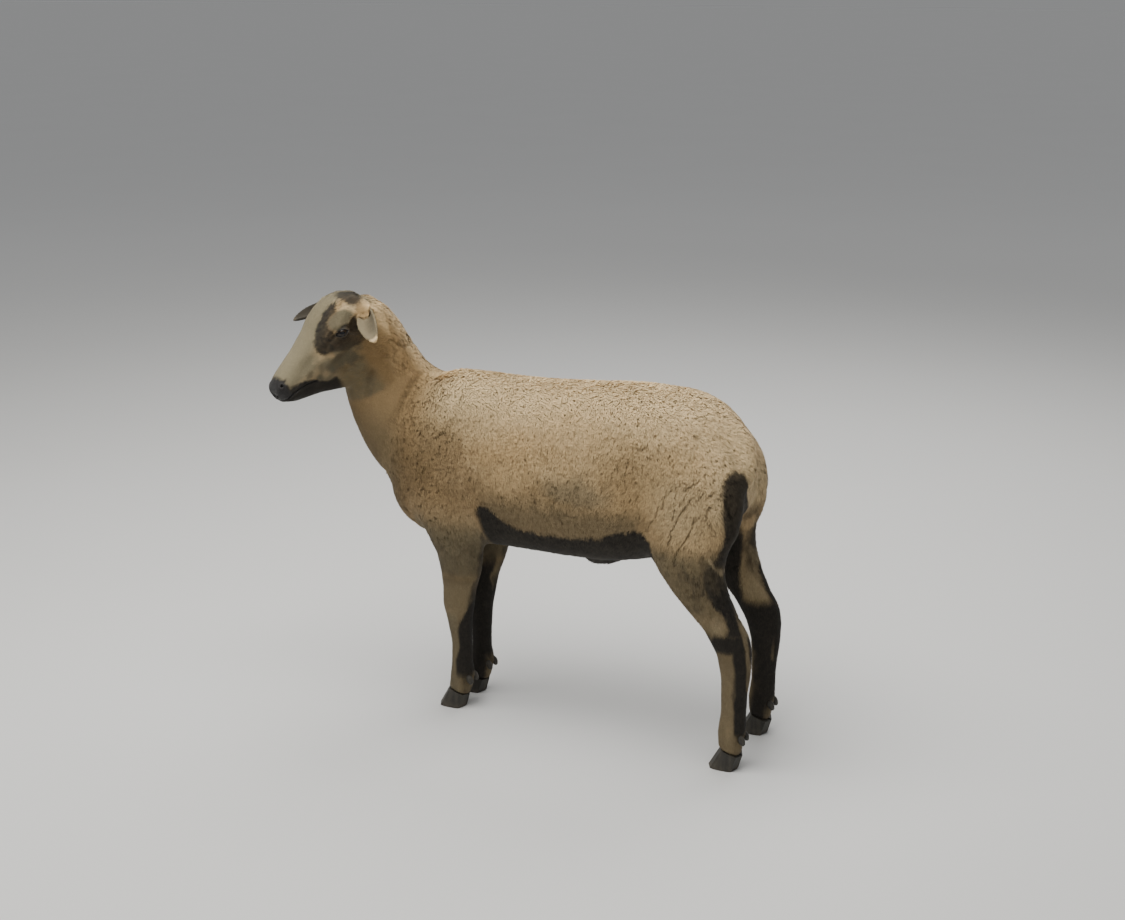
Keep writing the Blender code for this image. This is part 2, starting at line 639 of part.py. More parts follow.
def beyond(point, normal, size, margin):
    """A box of some breadth and depth that starts at a plane and goes on along its normal."""
    breadth, depth = size
    normal = Vector(normal).normalized()
    across = Vector((0, 1, 0)) if abs(normal.y) < 0.9 else Vector((1, 0, 0))
    across = (across - across.dot(normal) * normal).normalized()
    turn = Matrix((across, normal.cross(across), normal)).transposed()
    centre = Vector(point) + normal * (0.5 * depth)
    across_size = breadth + 2 * margin
    return block("beyond_region", centre, turn, (across_size, across_size, depth + 2 * margin))


def hull(name, points, margin):
    """The convex hull of some points, grown by a margin on every side."""
    bm = bmesh.new()
    steps = (-margin, margin) if margin else (0.0,)
    for point in points:
        for step in itertools.product(steps, repeat=3):
            bm.verts.new(Vector(point) + Vector(step))
    found = bmesh.ops.convex_hull(bm, input=bm.verts)
    spare = {v for v in found["geom_interior"] + found["geom_unused"] if isinstance(v, bmesh.types.BMVert)}
    bmesh.ops.delete(bm, geom=list(spare), context="VERTS")
    bmesh.ops.recalc_face_normals(bm, faces=bm.faces)
    return object_from(name, bm)


def limb_region(outline, side, inner_edge, margin):
    """A limb's share of the body: a side outline, in x and z, kept outside an edge of y at each height."""
    middle = sum(x for x, _ in outline) / len(outline)
    heights, distances = zip(*inner_edge)
    points = []
    for x, z in outline:
        inner = float(np.interp(z, heights, distances))
        points.append((x, side * inner, z))
        points.append((x, side * LIMB_REACH, z))
    for z, inner in inner_edge:
        points.append((middle, side * inner, z))
    return hull("limb_region", points, margin)


def keep_largest(obj):
    """Deletes every island of the mesh but the largest."""
    bm = bmesh.new()
    bm.from_mesh(obj.data)
    islands = []
    left = set(bm.verts)
    while left:
        island = {left.pop()}
        edge = set(island)
        while edge:
            edge = {e.other_vert(v) for v in edge for e in v.link_edges} - island
            island |= edge
        left -= island
        islands.append(island)
    islands.sort(key=len)
    for island in islands[:-1]:
        bmesh.ops.delete(bm, geom=list(island), context="VERTS")
    bm.to_mesh(obj.data)
    bm.free()


def take(rest, name, region):
    """Parts a named piece from the rest. region(margin) gives the space to take, grown by a margin."""
    piece = rest.copy()
    piece.data = rest.data.copy()
    piece.name = name
    bpy.context.collection.objects.link(piece)
    boolean(piece, region(0.0), "INTERSECT")
    boolean(rest, region(GAP), "DIFFERENCE")
    keep_largest(piece)
    return piece


def part_head(rest):
    """The ears, the lower jaw and the head, each parted from the rest in turn."""
    pieces = []
    for side_name in SIDES:
        root, lean, _, _ = ear_frame(side_name)
        cut = in_skull(root + lean * EARS[side_name][2])
        way = skull_way(lean)
        pieces.append(take(rest, f"ear_{side_name}", lambda m: beyond(cut, way, EAR_REGION, m)))

    for name, outline, half_width in (
        ("lower_jaw", JAW_REGION, JAW_REGION_HALF_WIDTH),
        ("head", HEAD_REGION, HEAD_REGION_HALF_WIDTH),
    ):
        corners = [in_skull((x, y, z)) for x, z in outline for y in (-half_width, half_width)]
        pieces.append(take(rest, name, lambda m: hull(f"{name}_region", corners, m)))
    return pieces


def part_leg(rest, end, side_name, side, foot):
    """One leg, parted from the trunk and then into its upper leg, cannon and pastern."""
    outline, inner_edge = LEG_REGIONS[end]
    name = f"{end}leg_{side_name}"
    leg = take(rest, f"{name}_upper", lambda m: limb_region(outline, side, inner_edge, m))
    pieces = []
    for piece_name, (height, tilt) in (("cannon", LEG_CUTS[end]), ("pastern", PASTERN_CUT)):
        down = Vector((math.sin(math.radians(tilt)), 0, -math.cos(math.radians(tilt))))
        centre = Vector((foot.x, foot.y, height))
        source = leg if piece_name == "cannon" else pieces[0]
        pieces.append(take(source, f"{name}_{piece_name}", lambda m: beyond(centre, down, LIMB_REGION, m)))
    return [leg] + pieces


def part_trunk(rest):
    """Neck, tail, sheath, chest and rump, with the barrel left at the end."""

    def tail_region(margin):
        corners = []
        for x, z in TAIL_REGION:
            corners.extend((x, y, z) for y in TAIL_SIDES)
        return hull("tail_region", corners, margin)

    def sheath_region(margin):
        length, breadth, depth = SHEATH_REGION
        centre = (SHEATH_PLACE[0], 0, BELLY_HEIGHT - SHEATH_CUT - 0.5 * depth + margin)
        size = (length + 2 * margin, breadth + 2 * margin, depth)
        return block("sheath_region", centre, Matrix.Identity(3), size)

    pieces = [take(rest, "tail", tail_region), take(rest, "sheath", sheath_region)]
    for name, cut, way, size in (
        ("neck", NECK_CUT, NECK_CUT_WAY, NECK_REGION),
        ("chest", CHEST_CUT, (-1, 0, 0), TRUNK_REGION),
        ("rump", RUMP_CUT, (1, 0, 0), TRUNK_REGION),
    ):
        pieces.append(take(rest, name, lambda m: beyond(cut, way, size, m)))
    rest.name = "barrel"
    keep_largest(rest)
    return pieces + [rest]


# ---- Build -------------------------------------------------------------------------------------------------


def material_for(name):
    for words, material in NODE_MATERIALS:
        if any(word in name for word in words):
            return material
    return "tan_wool"


def finish(pieces):
    """Gives every piece its material, and moves the sheep so that its box is centred over the origin."""
    used = {}
    corners = np.array([v.co[:] for piece in pieces for v in piece.data.vertices])
    middle = 0.5 * (corners.min(axis=0) + corners.max(axis=0))
    shift = Matrix.Translation((-middle[0], -middle[1], 0.0))
    for piece in pieces:
        piece.data.transform(shift)
        key = material_for(piece.name)
        if key not in used:
            used[key] = make_material(key)
        piece.data.materials.clear()
        piece.data.materials.append(used[key])
        piece.data.shade_smooth()
        piece.data.set_sharp_from_angle(angle=SHARP_ANGLE)


def main():
    clear_scene()
    flesh = fused_flesh()
    pieces = []
    for side_name in SIDES:
        boolean(flesh, ear_form(side_name), "UNION")
    for side_name, side in (("left", 1), ("right", -1)):
        boolean(flesh, eye("socket", side, GAP), "DIFFERENCE")
        pieces.append(eye(f"eye_{side_name}", side))
    for name, side, foot in feet():
        end = name.split("_")[0]
        boolean(flesh, coronet_region(foot, GAP), "DIFFERENCE")
        for claw, outward in (("outer", side), ("inner", -side)):
            pieces.append(hoof_claw(f"hoof_{name}_{claw}", foot, outward))
            boolean(flesh, dewclaw("dewclaw_pit", end, foot, outward, GAP), "DIFFERENCE")
            pieces.append(dewclaw(f"dewclaw_{name}_{claw}", end, foot, outward))
    pieces += part_head(flesh)
    for name, side, foot in feet():
        end, side_name = name.split("_")
        pieces += part_leg(flesh, end, side_name, side, foot)
    pieces += part_trunk(flesh)
    finish(pieces)


main()
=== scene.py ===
"""A shorn sheep standing still, life size: one skin, eyes, hooves, coat and a plain studio."""

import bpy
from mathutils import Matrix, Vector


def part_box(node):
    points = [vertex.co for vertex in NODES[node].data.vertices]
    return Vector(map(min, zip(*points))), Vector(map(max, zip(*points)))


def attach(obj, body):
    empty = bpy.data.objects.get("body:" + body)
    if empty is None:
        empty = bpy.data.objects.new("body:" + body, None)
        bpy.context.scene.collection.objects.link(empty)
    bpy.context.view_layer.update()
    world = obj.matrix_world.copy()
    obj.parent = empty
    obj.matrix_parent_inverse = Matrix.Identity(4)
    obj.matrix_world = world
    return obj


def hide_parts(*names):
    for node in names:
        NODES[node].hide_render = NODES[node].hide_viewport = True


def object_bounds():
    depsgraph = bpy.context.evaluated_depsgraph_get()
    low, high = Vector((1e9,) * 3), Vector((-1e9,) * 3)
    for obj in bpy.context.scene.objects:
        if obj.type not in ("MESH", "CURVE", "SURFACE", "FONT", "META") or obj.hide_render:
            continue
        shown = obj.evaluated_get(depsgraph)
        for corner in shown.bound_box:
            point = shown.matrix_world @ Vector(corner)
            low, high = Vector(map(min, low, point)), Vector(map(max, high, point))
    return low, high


bl_info = {
    "name": "Shorn Sheep",
    "version": (1, 0, 0),
    "blender": (4, 5, 0),
    "location": "View3D > Sidebar > Sheep",
    "description": "Builds the skin, coat, eyes and hooves of a shorn sheep over its solid model",
    "category": "Object",
}

import itertools
import math

import bmesh
import bpy
import numpy as np
from bpy.props import FloatProperty, FloatVectorProperty, PointerProperty
from bpy.types import Operator, Panel, PropertyGroup
from mathutils import Matrix, Vector
from mathutils.bvhtree import BVHTree

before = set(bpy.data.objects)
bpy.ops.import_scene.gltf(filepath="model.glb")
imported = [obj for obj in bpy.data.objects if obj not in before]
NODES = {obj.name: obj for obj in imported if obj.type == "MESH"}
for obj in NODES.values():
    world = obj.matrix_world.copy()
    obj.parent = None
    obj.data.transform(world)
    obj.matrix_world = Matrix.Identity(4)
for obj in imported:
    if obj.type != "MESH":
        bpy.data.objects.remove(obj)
CAD_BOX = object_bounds()

HARD_PARTS = ("eye_", "hoof_", "dewclaw_")
FLESH = sorted(name for name in NODES if not name.startswith(HARD_PARTS))
SIDES = {"left": 1.0, "right": -1.0}


# ---- Where the body and the skull lie ----------------------------------------------------------------------


def box_middle(*nodes):
    """The middle of the box round some nodes."""
    corners = np.array([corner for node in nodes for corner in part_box(node)], dtype=float)
    return (corners.min(axis=0) + corners.max(axis=0)) / 2


# The body's frame: x runs back from the middle of the trunk, y to the sheep's right, z up from the floor.
FORE_FOOT = box_middle("hoof_fore_left_outer", "hoof_fore_left_inner")
FOOT_AHEAD = 0.2830
FOOT_ASIDE = 0.0425
BODY_ORIGIN = np.array([FORE_FOOT[0] + FOOT_AHEAD, FORE_FOOT[1] + FOOT_ASIDE, 0.0])

# The skull's frame: x runs to the nose, y to the sheep's left, z to the forehead.
SKULL_YAW = math.radians(64)
SKULL_PITCH = math.radians(33)
SKULL_ROLL = math.radians(7)
EYE_PLACE = np.array([0.066, 0.042, 0.018])
EYE_MIDDLE = (box_middle("eye_left") + box_middle("eye_right")) / 2


def skull_axes():
    """The skull's three ways as the columns of a matrix."""
    forward = Vector((-math.cos(SKULL_YAW), -math.sin(SKULL_YAW), 0)) * math.cos(SKULL_PITCH)
    forward.z = -math.sin(SKULL_PITCH)
    left = Vector((math.sin(SKULL_YAW), -math.cos(SKULL_YAW), 0))
    turn = Matrix((forward, left, forward.cross(left))).transposed()
    return np.array(turn @ Matrix.Rotation(SKULL_ROLL, 3, "X"))


SKULL_TURN = skull_axes()
SKULL_ORIGIN = EYE_MIDDLE - SKULL_TURN @ (EYE_PLACE * (1, 0, 1))


def to_skull(points):
    """The world's points in the skull's frame."""
    return (points - SKULL_ORIGIN) @ SKULL_TURN


def from_skull(points):
    """The skull's points in the world."""
    return points @ SKULL_TURN.T + SKULL_ORIGIN


LEFT_EYE = to_skull(box_middle("eye_left"))

# Each ear: its lean from root to tip, the way its hollow side looks, and its root, all in the skull's frame.
EAR_LENGTH = 0.103
EAR_ROOT = (0.003, 0.042, 0.008)
EAR_WAYS = {
    "left": ((0.53, 0.84, -0.03), (0.20, 0.05, 0.95)),
    "right": ((0.70, -0.59, 0.40), (0.20, -0.05, 0.95)),
}


def ear_axes(side):
    """An ear's root and its unit ways along it and out of its hollow side."""
    lean, face = (np.array(way) / np.linalg.norm(way) for way in EAR_WAYS[side])
    face = face - face.dot(lean) * lean
    return np.array(EAR_ROOT) * (1, SIDES[side], 1), lean, face / np.linalg.norm(face)


# ---- Small tools for points and meshes ---------------------------------------------------------------------


def ease(low, high, value):
    """0 at low, 1 at high, and smooth between; low may be the larger."""
    share = np.clip((value - low) / (high - low), 0, 1)
    return share * share * (3 - 2 * share)


def unit(vectors):
    """Vectors at length 1."""
    return vectors / np.maximum(np.linalg.norm(vectors, axis=-1, keepdims=True), 1e-12)


def dot(a, b):
    """Row by row products of two lists of vectors."""
    return (a * b).sum(axis=-1)


def most(*marks):
    """The strongest of some marks at each point."""
    return np.max(marks, axis=0)


def from_line(points, line):
    """Distance from points to a chain of straight pieces."""
    line = np.asarray(line, dtype=float)
    nearest = np.full(len(points), np.inf)
    for start, end in zip(line[:-1], line[1:]):
        along = end - start
        share = np.clip((points - start) @ along / along.dot(along), 0, 1)
        gap = np.linalg.norm(points - start - share[:, None] * along, axis=1)
        nearest = np.minimum(nearest, gap)
    return nearest


def blob(points, centre, reach):
    """1 at centre, fading to 0 at its reach along each axis."""
    gap = np.linalg.norm((points - np.array(centre)) / np.array(reach), axis=1)
    return ease(1.0, 0.0, gap)


def hashed(cells, seed):
    """A number from -1 to 1 for each whole-number cell, the same on every run."""
    mixed = cells[:, 0] * 73856093 ^ cells[:, 1] * 19349663 ^ cells[:, 2] * 83492791 ^ seed * 2654435761
    mixed = (mixed ^ (mixed >> 13)) * 1274126177
    mixed = mixed ^ (mixed >> 16)
    return (mixed & 0xFFFFFF) / 0x7FFFFF - 1.0


def ripple(points, size, seed):
    """Smooth noise from -1 to 1 with cells of that size, or of three sizes."""
    scaled = points / np.asarray(size)
    base = np.floor(scaled).astype(np.int64)
    part = scaled - base
    part = part * part * (3 - 2 * part)
    total = np.zeros(len(points))
    for corner in np.ndindex(2, 2, 2):
        weight = np.prod(np.where(corner, part, 1 - part), axis=1)
        total += weight * hashed(base + np.array(corner), seed)
    return total


def mesh_arrays(mesh):
    """A mesh's points and its triangles."""
    points = np.empty(len(mesh.vertices) * 3, np.float32)
    mesh.vertices.foreach_get("co", points)
    mesh.calc_loop_triangles()
    triangles = np.empty(len(mesh.loop_triangles) * 3, np.int32)
    mesh.loop_triangles.foreach_get("vertices", triangles)
    return points.reshape(-1, 3).astype(float), triangles.reshape(-1, 3)


def mesh_edges(mesh):
    """The two points of each edge."""
    edges = np.empty(len(mesh.edges) * 2, np.int32)
    mesh.edges.foreach_get("vertices", edges)
    return edges.reshape(-1, 2)


def new_mesh(name, points, triangles):
    """A smooth-shaded mesh of triangles."""
    mesh = bpy.data.meshes.new(name)
    mesh.vertices.add(len(points))
    mesh.vertices.foreach_set("co", np.asarray(points, np.float32).ravel())
    mesh.loops.add(triangles.size)
    mesh.loops.foreach_set("vertex_index", triangles.astype(np.int32).ravel())
    mesh.polygons.add(len(triangles))
    mesh.polygons.foreach_set("loop_start", np.arange(0, triangles.size, 3, dtype=np.int32))
    mesh.polygons.foreach_set("use_smooth", np.ones(len(triangles), bool))
    mesh.update(calc_edges=True)
    return mesh


def new_object(name, mesh):
    """An object in the scene."""
    obj = bpy.data.objects.new(name, mesh)
    bpy.context.scene.collection.objects.link(obj)
    return obj


def point_normals(points, triangles):
    """Normals at the points, weighted by area."""
    a, b, c = (points[triangles[:, k]] for k in range(3))
    across = np.cross(b - a, c - a)
    total = np.zeros_like(points)
    for k in range(3):
        for axis in range(3):
            total[:, axis] += np.bincount(triangles[:, k], across[:, axis], len(points))
    return unit(total)


def write_values(mesh, name, values):
    """Stores up to three values for each point, as one colour attribute."""
    rows = np.ones((len(values), 4), np.float32)
    rows[:, : values.shape[1]] = values
    layer = mesh.attributes.new(name, "FLOAT_COLOR", "POINT")
    layer.data.foreach_set("color", rows.ravel())


def read_values(mesh, name):
    """The three values for each point that write_values stored."""
    rows = np.empty(len(mesh.vertices) * 4, np.float32)
    mesh.attributes[name].data.foreach_get("color", rows)
    return rows.reshape(-1, 4)[:, :3].astype(float)


class Web:
    """Which points of a mesh are joined, for means over neighbours."""

    def __init__(self, count, edges):
        ends = np.concatenate([edges[:, 0], edges[:, 1]])
        others = np.concatenate([edges[:, 1], edges[:, 0]])
        order = np.argsort(ends, kind="stable")
        self.others = others[order]
        self.degree = np.maximum(np.bincount(ends, minlength=count), 1)
        self.ends = ends[order]
        self.count = count

    def mean(self, values):
        """Each point's mean over its neighbours."""
        columns = values.reshape(self.count, -1)
        total = np.empty_like(columns)
        for k in range(columns.shape[1]):
            total[:, k] = np.bincount(self.ends, columns[self.others, k], self.count)
        return (total / self.degree[:, None]).reshape(values.shape)

    def soften(self, values, times):
        """Values drawn halfway to their neighbours' mean, so many times."""
        for _ in range(times):
            values = 0.5 * values + 0.5 * self.mean(values)
        return values


# ---- Regions and markings ----------------------------------------------------------------------------------


class Places:
    """Points with the part that each belongs to, in the body's and the skull's frames."""

    GROUPS = ("trunk", "neck", "head", "ear", "tail", "foreleg", "hindleg")

    def __init__(self, points, shares):
        self.points = points
        self.body = points - BODY_ORIGIN
        self.skull = to_skull(points)
        self.side_skull = self.skull * (1, 0, 1) + np.abs(self.skull) * (0, 1, 0)
        self.share = dict(zip(self.GROUPS, shares.T))


def group_of(node):
    """The region that a flesh node belongs to."""
    if node in ("head", "lower_jaw") or node.startswith("eye_"):
        return "head"
    if node.startswith("ear_"):
        return "ear"
    if node.startswith("foreleg_"):
        return "foreleg"
    if node.startswith("hindleg_"):
        return "hindleg"
    if node in ("neck", "tail"):
        return node
    return "trunk"


def wool_share(places):
    """1 where the coat is fleece, 0 where it is short hair."""
    s = places.share
    face = ease(0.060, -0.050, places.skull[:, 0] - 0.10 * places.skull[:, 2])
    leg_start = np.where(s["foreleg"] > s["hindleg"], 0.285, 0.255)
    legs = ease(leg_start, leg_start + 0.105, places.body[:, 2])
    wool = s["trunk"] + s["tail"] + (s["head"] + s["neck"]) * face
    wool += (s["foreleg"] + s["hindleg"]) * legs
    return np.clip(wool, 0, 1)


# The black belly's upper edge: distance back along the body, height.
BELLY_EDGE = (
    (-0.400, 0.300), (-0.330, 0.355), (-0.260, 0.400), (-0.185, 0.436), (-0.166, 0.429), (-0.151, 0.414),
    (-0.132, 0.408), (-0.084, 0.400), (-0.026, 0.400), (0.031, 0.404), (0.070, 0.421), (0.106, 0.434),
    (0.124, 0.428), (0.135, 0.412), (0.150, 0.330),
)
# The head's marks in the skull's frame. The dark stripe in front of each eye, with its half width, runs
# down to
# the dark patch below the eye.
EYE_STRIPE = ((0.044, 0.030, 0.064), (0.054, 0.035, 0.058), (0.073, 0.037, 0.052), (0.089, 0.038, 0.042),
              (0.103, 0.040, 0.031), (0.110, 0.041, 0.021))
STRIPE_HALF = ((0.044, 0.056, 0.073, 0.089, 0.103), (0.0055, 0.0105, 0.0140, 0.0152, 0.0162))
UNDER_EYE = ((0.096, 0.017), (0.074, 0.003), (0.050, -0.004), (0.030, -0.004))
# A painted highlight: the pale line on the fold in front of the eye.
LID_FOLD_HIGHLIGHT = ((0.064, 0.041, 0.052), (0.080, 0.046, 0.043), (0.096, 0.043, 0.033))
NOSTRIL = ((0.2190, 0.0070, -0.002), (0.2150, 0.0130, 0.0045), (0.2070, 0.0205, 0.0120))
MOUTH = ((0.2200, -0.0130), (0.200, -0.0095), (0.186, -0.0115), (0.172, -0.0145), (0.158, -0.0200),
         (0.150, -0.0245))
CHIN_EDGE = ((0.112, -0.062), (0.120, -0.041), (0.134, -0.036), (0.146, -0.029), (0.156, -0.017),
             (0.165, -0.010), (0.176, -0.004), (0.190, 0.001), (0.222, 0.004))
LIP_LINE = ((0.203, 0.022, 0.013), (0.195, 0.024, 0.008), (0.186, 0.028, 0.004), (0.176, 0.030, -0.001))
JAW_FOLD = ((0.062, 0.041, -0.080), (0.082, 0.034, -0.097), (0.098, 0.027, -0.116))
EYE_CORNER = ((0.047, 0.002), (0.038, 0.019))
# The head's rounded marks: middle and reach.
POLL = ((0.011, 0.026, 0.055), (0.037, 0.036, 0.035))
UPPER_LID = ((0.057, 0.050, 0.0385), (0.032, 0.04, 0.0215))
CHEEK = ((0.090, 0.042, -0.020), (0.066, 0.06, 0.042))
LOWER_FACE = ((0.136, 0.034, -0.020), (0.058, 0.05, 0.030))
LIP_CORNER = ((0.158, 0.031, -0.004), (0.018, 0.04, 0.013))
MUZZLE_SPOT = ((0.153, 0.031, 0.003), (0.026, 0.04, 0.022))
BROW = ((0.034, 0.044, 0.043), (0.028, 0.03, 0.020))
EYE_RIM_HALF = (0.0185, 0.0120)


def head_marks(places):
    """Black, tan, pale and grey shares on the head."""
    q = places.side_skull
    x, y, z = q.T
    rough = 0.0032 * ripple(q, 0.011, 31) + 0.0014 * ripple(q, 0.004, 32) + 0.0014 * ripple(q, 0.0019, 34)
    bent = q + rough[:, None]
    flat = bent[:, (0, 2)]
    mottle = 0.5 + 0.5 * ripple(q, 0.012, 33)
    speckle = 0.5 + 0.5 * ripple(q, 0.0035, 35)
    aside = ease(0.022, 0.030, y)

    stripe = ease(1.22, 0.80, (from_line(q, EYE_STRIPE) + rough) / np.interp(x, *STRIPE_HALF))
    stripe = stripe * (0.86 + 0.14 * speckle)
    under_eye = ease(0.0225, 0.0125, from_line(flat, UNDER_EYE)) * (0.84 + 0.14 * ease(-0.012, 0.010, z))
    corner = 0.9 * ease(0.013, 0.006, from_line(flat, EYE_CORNER))
    under_eye = most(under_eye * (0.90 + 0.10 * speckle), corner) * aside
    poll = (0.84 + 0.14 * speckle) * ease(0.04, 0.50, blob(bent, *POLL))
    chin = ease(0.005, -0.004, z - np.interp(x, *np.array(CHIN_EDGE).T) + rough) * ease(0.108, 0.122, x)
    nose = ease(0.198, 0.207, x + 0.34 * z + rough) * ease(0.024, 0.018, z + rough)
    lip = 0.75 * ease(0.0050, 0.0015, from_line(bent, LIP_LINE))
    lid = ease(0.04, 0.32, blob(bent, *UPPER_LID)) * ease(0.0225, 0.0265, z + 0.12 * (x - 0.060))
    # Painted highlight on that fold: less black, and greyer and paler.
    fold_highlight = ease(0.0034, 0.0010, from_line(q, LID_FOLD_HIGHLIGHT))
    black = most(stripe, under_eye, poll, chin, nose)
    black = black * (1 - lip) * (1 - 0.85 * lid) * (1 - 0.70 * fold_highlight)

    off_eye = np.hypot((x - LEFT_EYE[0]) / EYE_RIM_HALF[0], (z - LEFT_EYE[2]) / EYE_RIM_HALF[1])
    rim = ease(1.25, 0.95, off_eye) * aside
    cheek = ease(0.0, 0.85, blob(bent + 2 * rough[:, None], *CHEEK))
    shadow = ease(0.0, 0.7, blob(bent, *LOWER_FACE))
    shadow *= 0.30 + 0.40 * ease(0.3, 0.7, mottle) + 0.30 * speckle
    lip_corner = ease(0.1, 0.8, blob(bent, *LIP_CORNER))
    # Painted shade in the crease between the jaw and the neck.
    jaw_crease_shade = ease(0.013, 0.001, from_line(bent, JAW_FOLD))
    black = most(black, 0.90 * rim, 0.55 * cheek * (0.45 + 0.55 * mottle), 0.46 * shadow, 0.50 * lip_corner,
                 0.30 * jaw_crease_shade)

    spot = blob(bent, *MUZZLE_SPOT) * (0.4 + 0.6 * mottle)
    side_face = ease(0.08, 0.12, x) * ease(0.020, -0.006, z) * (0.40 + 0.60 * mottle)
    blaze = ease(0.044, 0.026, y + 0.10 * (0.10 - x) + rough) * ease(-0.020, 0.006, z)
    jaw = ease(-0.020, -0.045, z) * ease(0.050, 0.075, x) * (0.6 + 0.4 * speckle)
    grey = most(0.85 * lid, 0.90 * spot, 0.8 * lip, 0.75 * cheek, 0.95 * side_face, 0.84 * blaze, 0.70 * jaw,
                0.6 * fold_highlight)
    muzzle = ease(0.105, 0.135, x) * ease(-0.020, -0.004, z)
    brow = ease(0.1, 0.6, blob(q, *BROW))
    nape = ease(0.016, -0.016, x) * ease(-0.075, -0.020, z)
    pale = most(blaze, 0.85 * muzzle, 0.65 * brow, 0.55 * fold_highlight, 0.80 * nape)
    tan = most(ease(0.010, -0.030, z + rough), 0.7 * ease(0.060, 0.030, x))
    return black, tan * ease(0.135, 0.105, x) * (1 - nape), pale, grey


# The front edge of the black on the hind cannons, behind the hind shins and on the forelegs: height,
# place back.
CANNON_LINE = ((0.05, 0.10, 0.20, 0.24), (0.290, 0.286, 0.282, 0.276))
SHIN_LINE = ((0.25, 0.268, 0.288, 0.311, 0.329, 0.347, 0.366, 0.383, 0.400, 0.412),
             (0.263, 0.272, 0.266, 0.243, 0.234, 0.228, 0.226, 0.232, 0.243, 0.250))
FORE_LINE = ((0.07, 0.098, 0.14, 0.172, 0.194, 0.214, 0.246, 0.28, 0.342, 0.378, 0.402, 0.424),
             (-0.268, -0.272, -0.268, -0.264, -0.252, -0.243, -0.234, -0.224, -0.215, -0.203, -0.192, -0.183))
# A painted highlight: the pale strip of rim light along the tendon of the hind legs: place back, height.
TENDON_HIGHLIGHT = ((0.235, 0.399), (0.244, 0.378), (0.251, 0.359), (0.258, 0.336), (0.266, 0.313), (0.277, 0.292),
          (0.286, 0.275), (0.296, 0.256), (0.303, 0.232), (0.306, 0.195), (0.305, 0.152))
# The black mark beside the tail, part black wool and part painted shade of the cleft between the thighs:
# height, then its front edge's place back or its inner edge's place across.
REAR_LINE = (
    (0.394, 0.412, 0.431, 0.448, 0.466, 0.531, 0.545),
    (0.240, 0.247, 0.252, 0.254, 0.255, 0.252, 0.258),
)
REAR_EDGE = ((0.380, 0.427, 0.459, 0.484, 0.500, 0.515, 0.530, 0.540),
             (0.060, 0.044, 0.005, -0.017, -0.035, -0.052, -0.057, -0.066))


HOCK_PATCH = ((0.252, 0, 0.272), (0.020, 1, 0.030))
# The trunk's marks: the tan line over the tail, the flank's smudge deepened with painted shade, and the
# warmer and paler patches.
TAIL_TAN = ((0.262, -0.070, 0.574), (0.268, -0.076, 0.562), (0.272, -0.080, 0.552))
FLANK_SMUDGE_AND_SHADE = ((-0.005, 0, 0.482), (0.120, 1, 0.050))
WARM_FLANK = ((0.085, 0, 0.520), (0.10, 1, 0.13))
PALE_THIGH = ((0.175, 0, 0.470), (0.09, 1, 0.12))
NECK_CREST = ((-0.430, -0.020, 0.775), (-0.370, 0.010, 0.690), (-0.30, 0.0, 0.64))
TOPLINE = ((-0.31, -0.10, 0.12, 0.20, 0.27), (0.580, 0.622, 0.628, 0.610, 0.540))


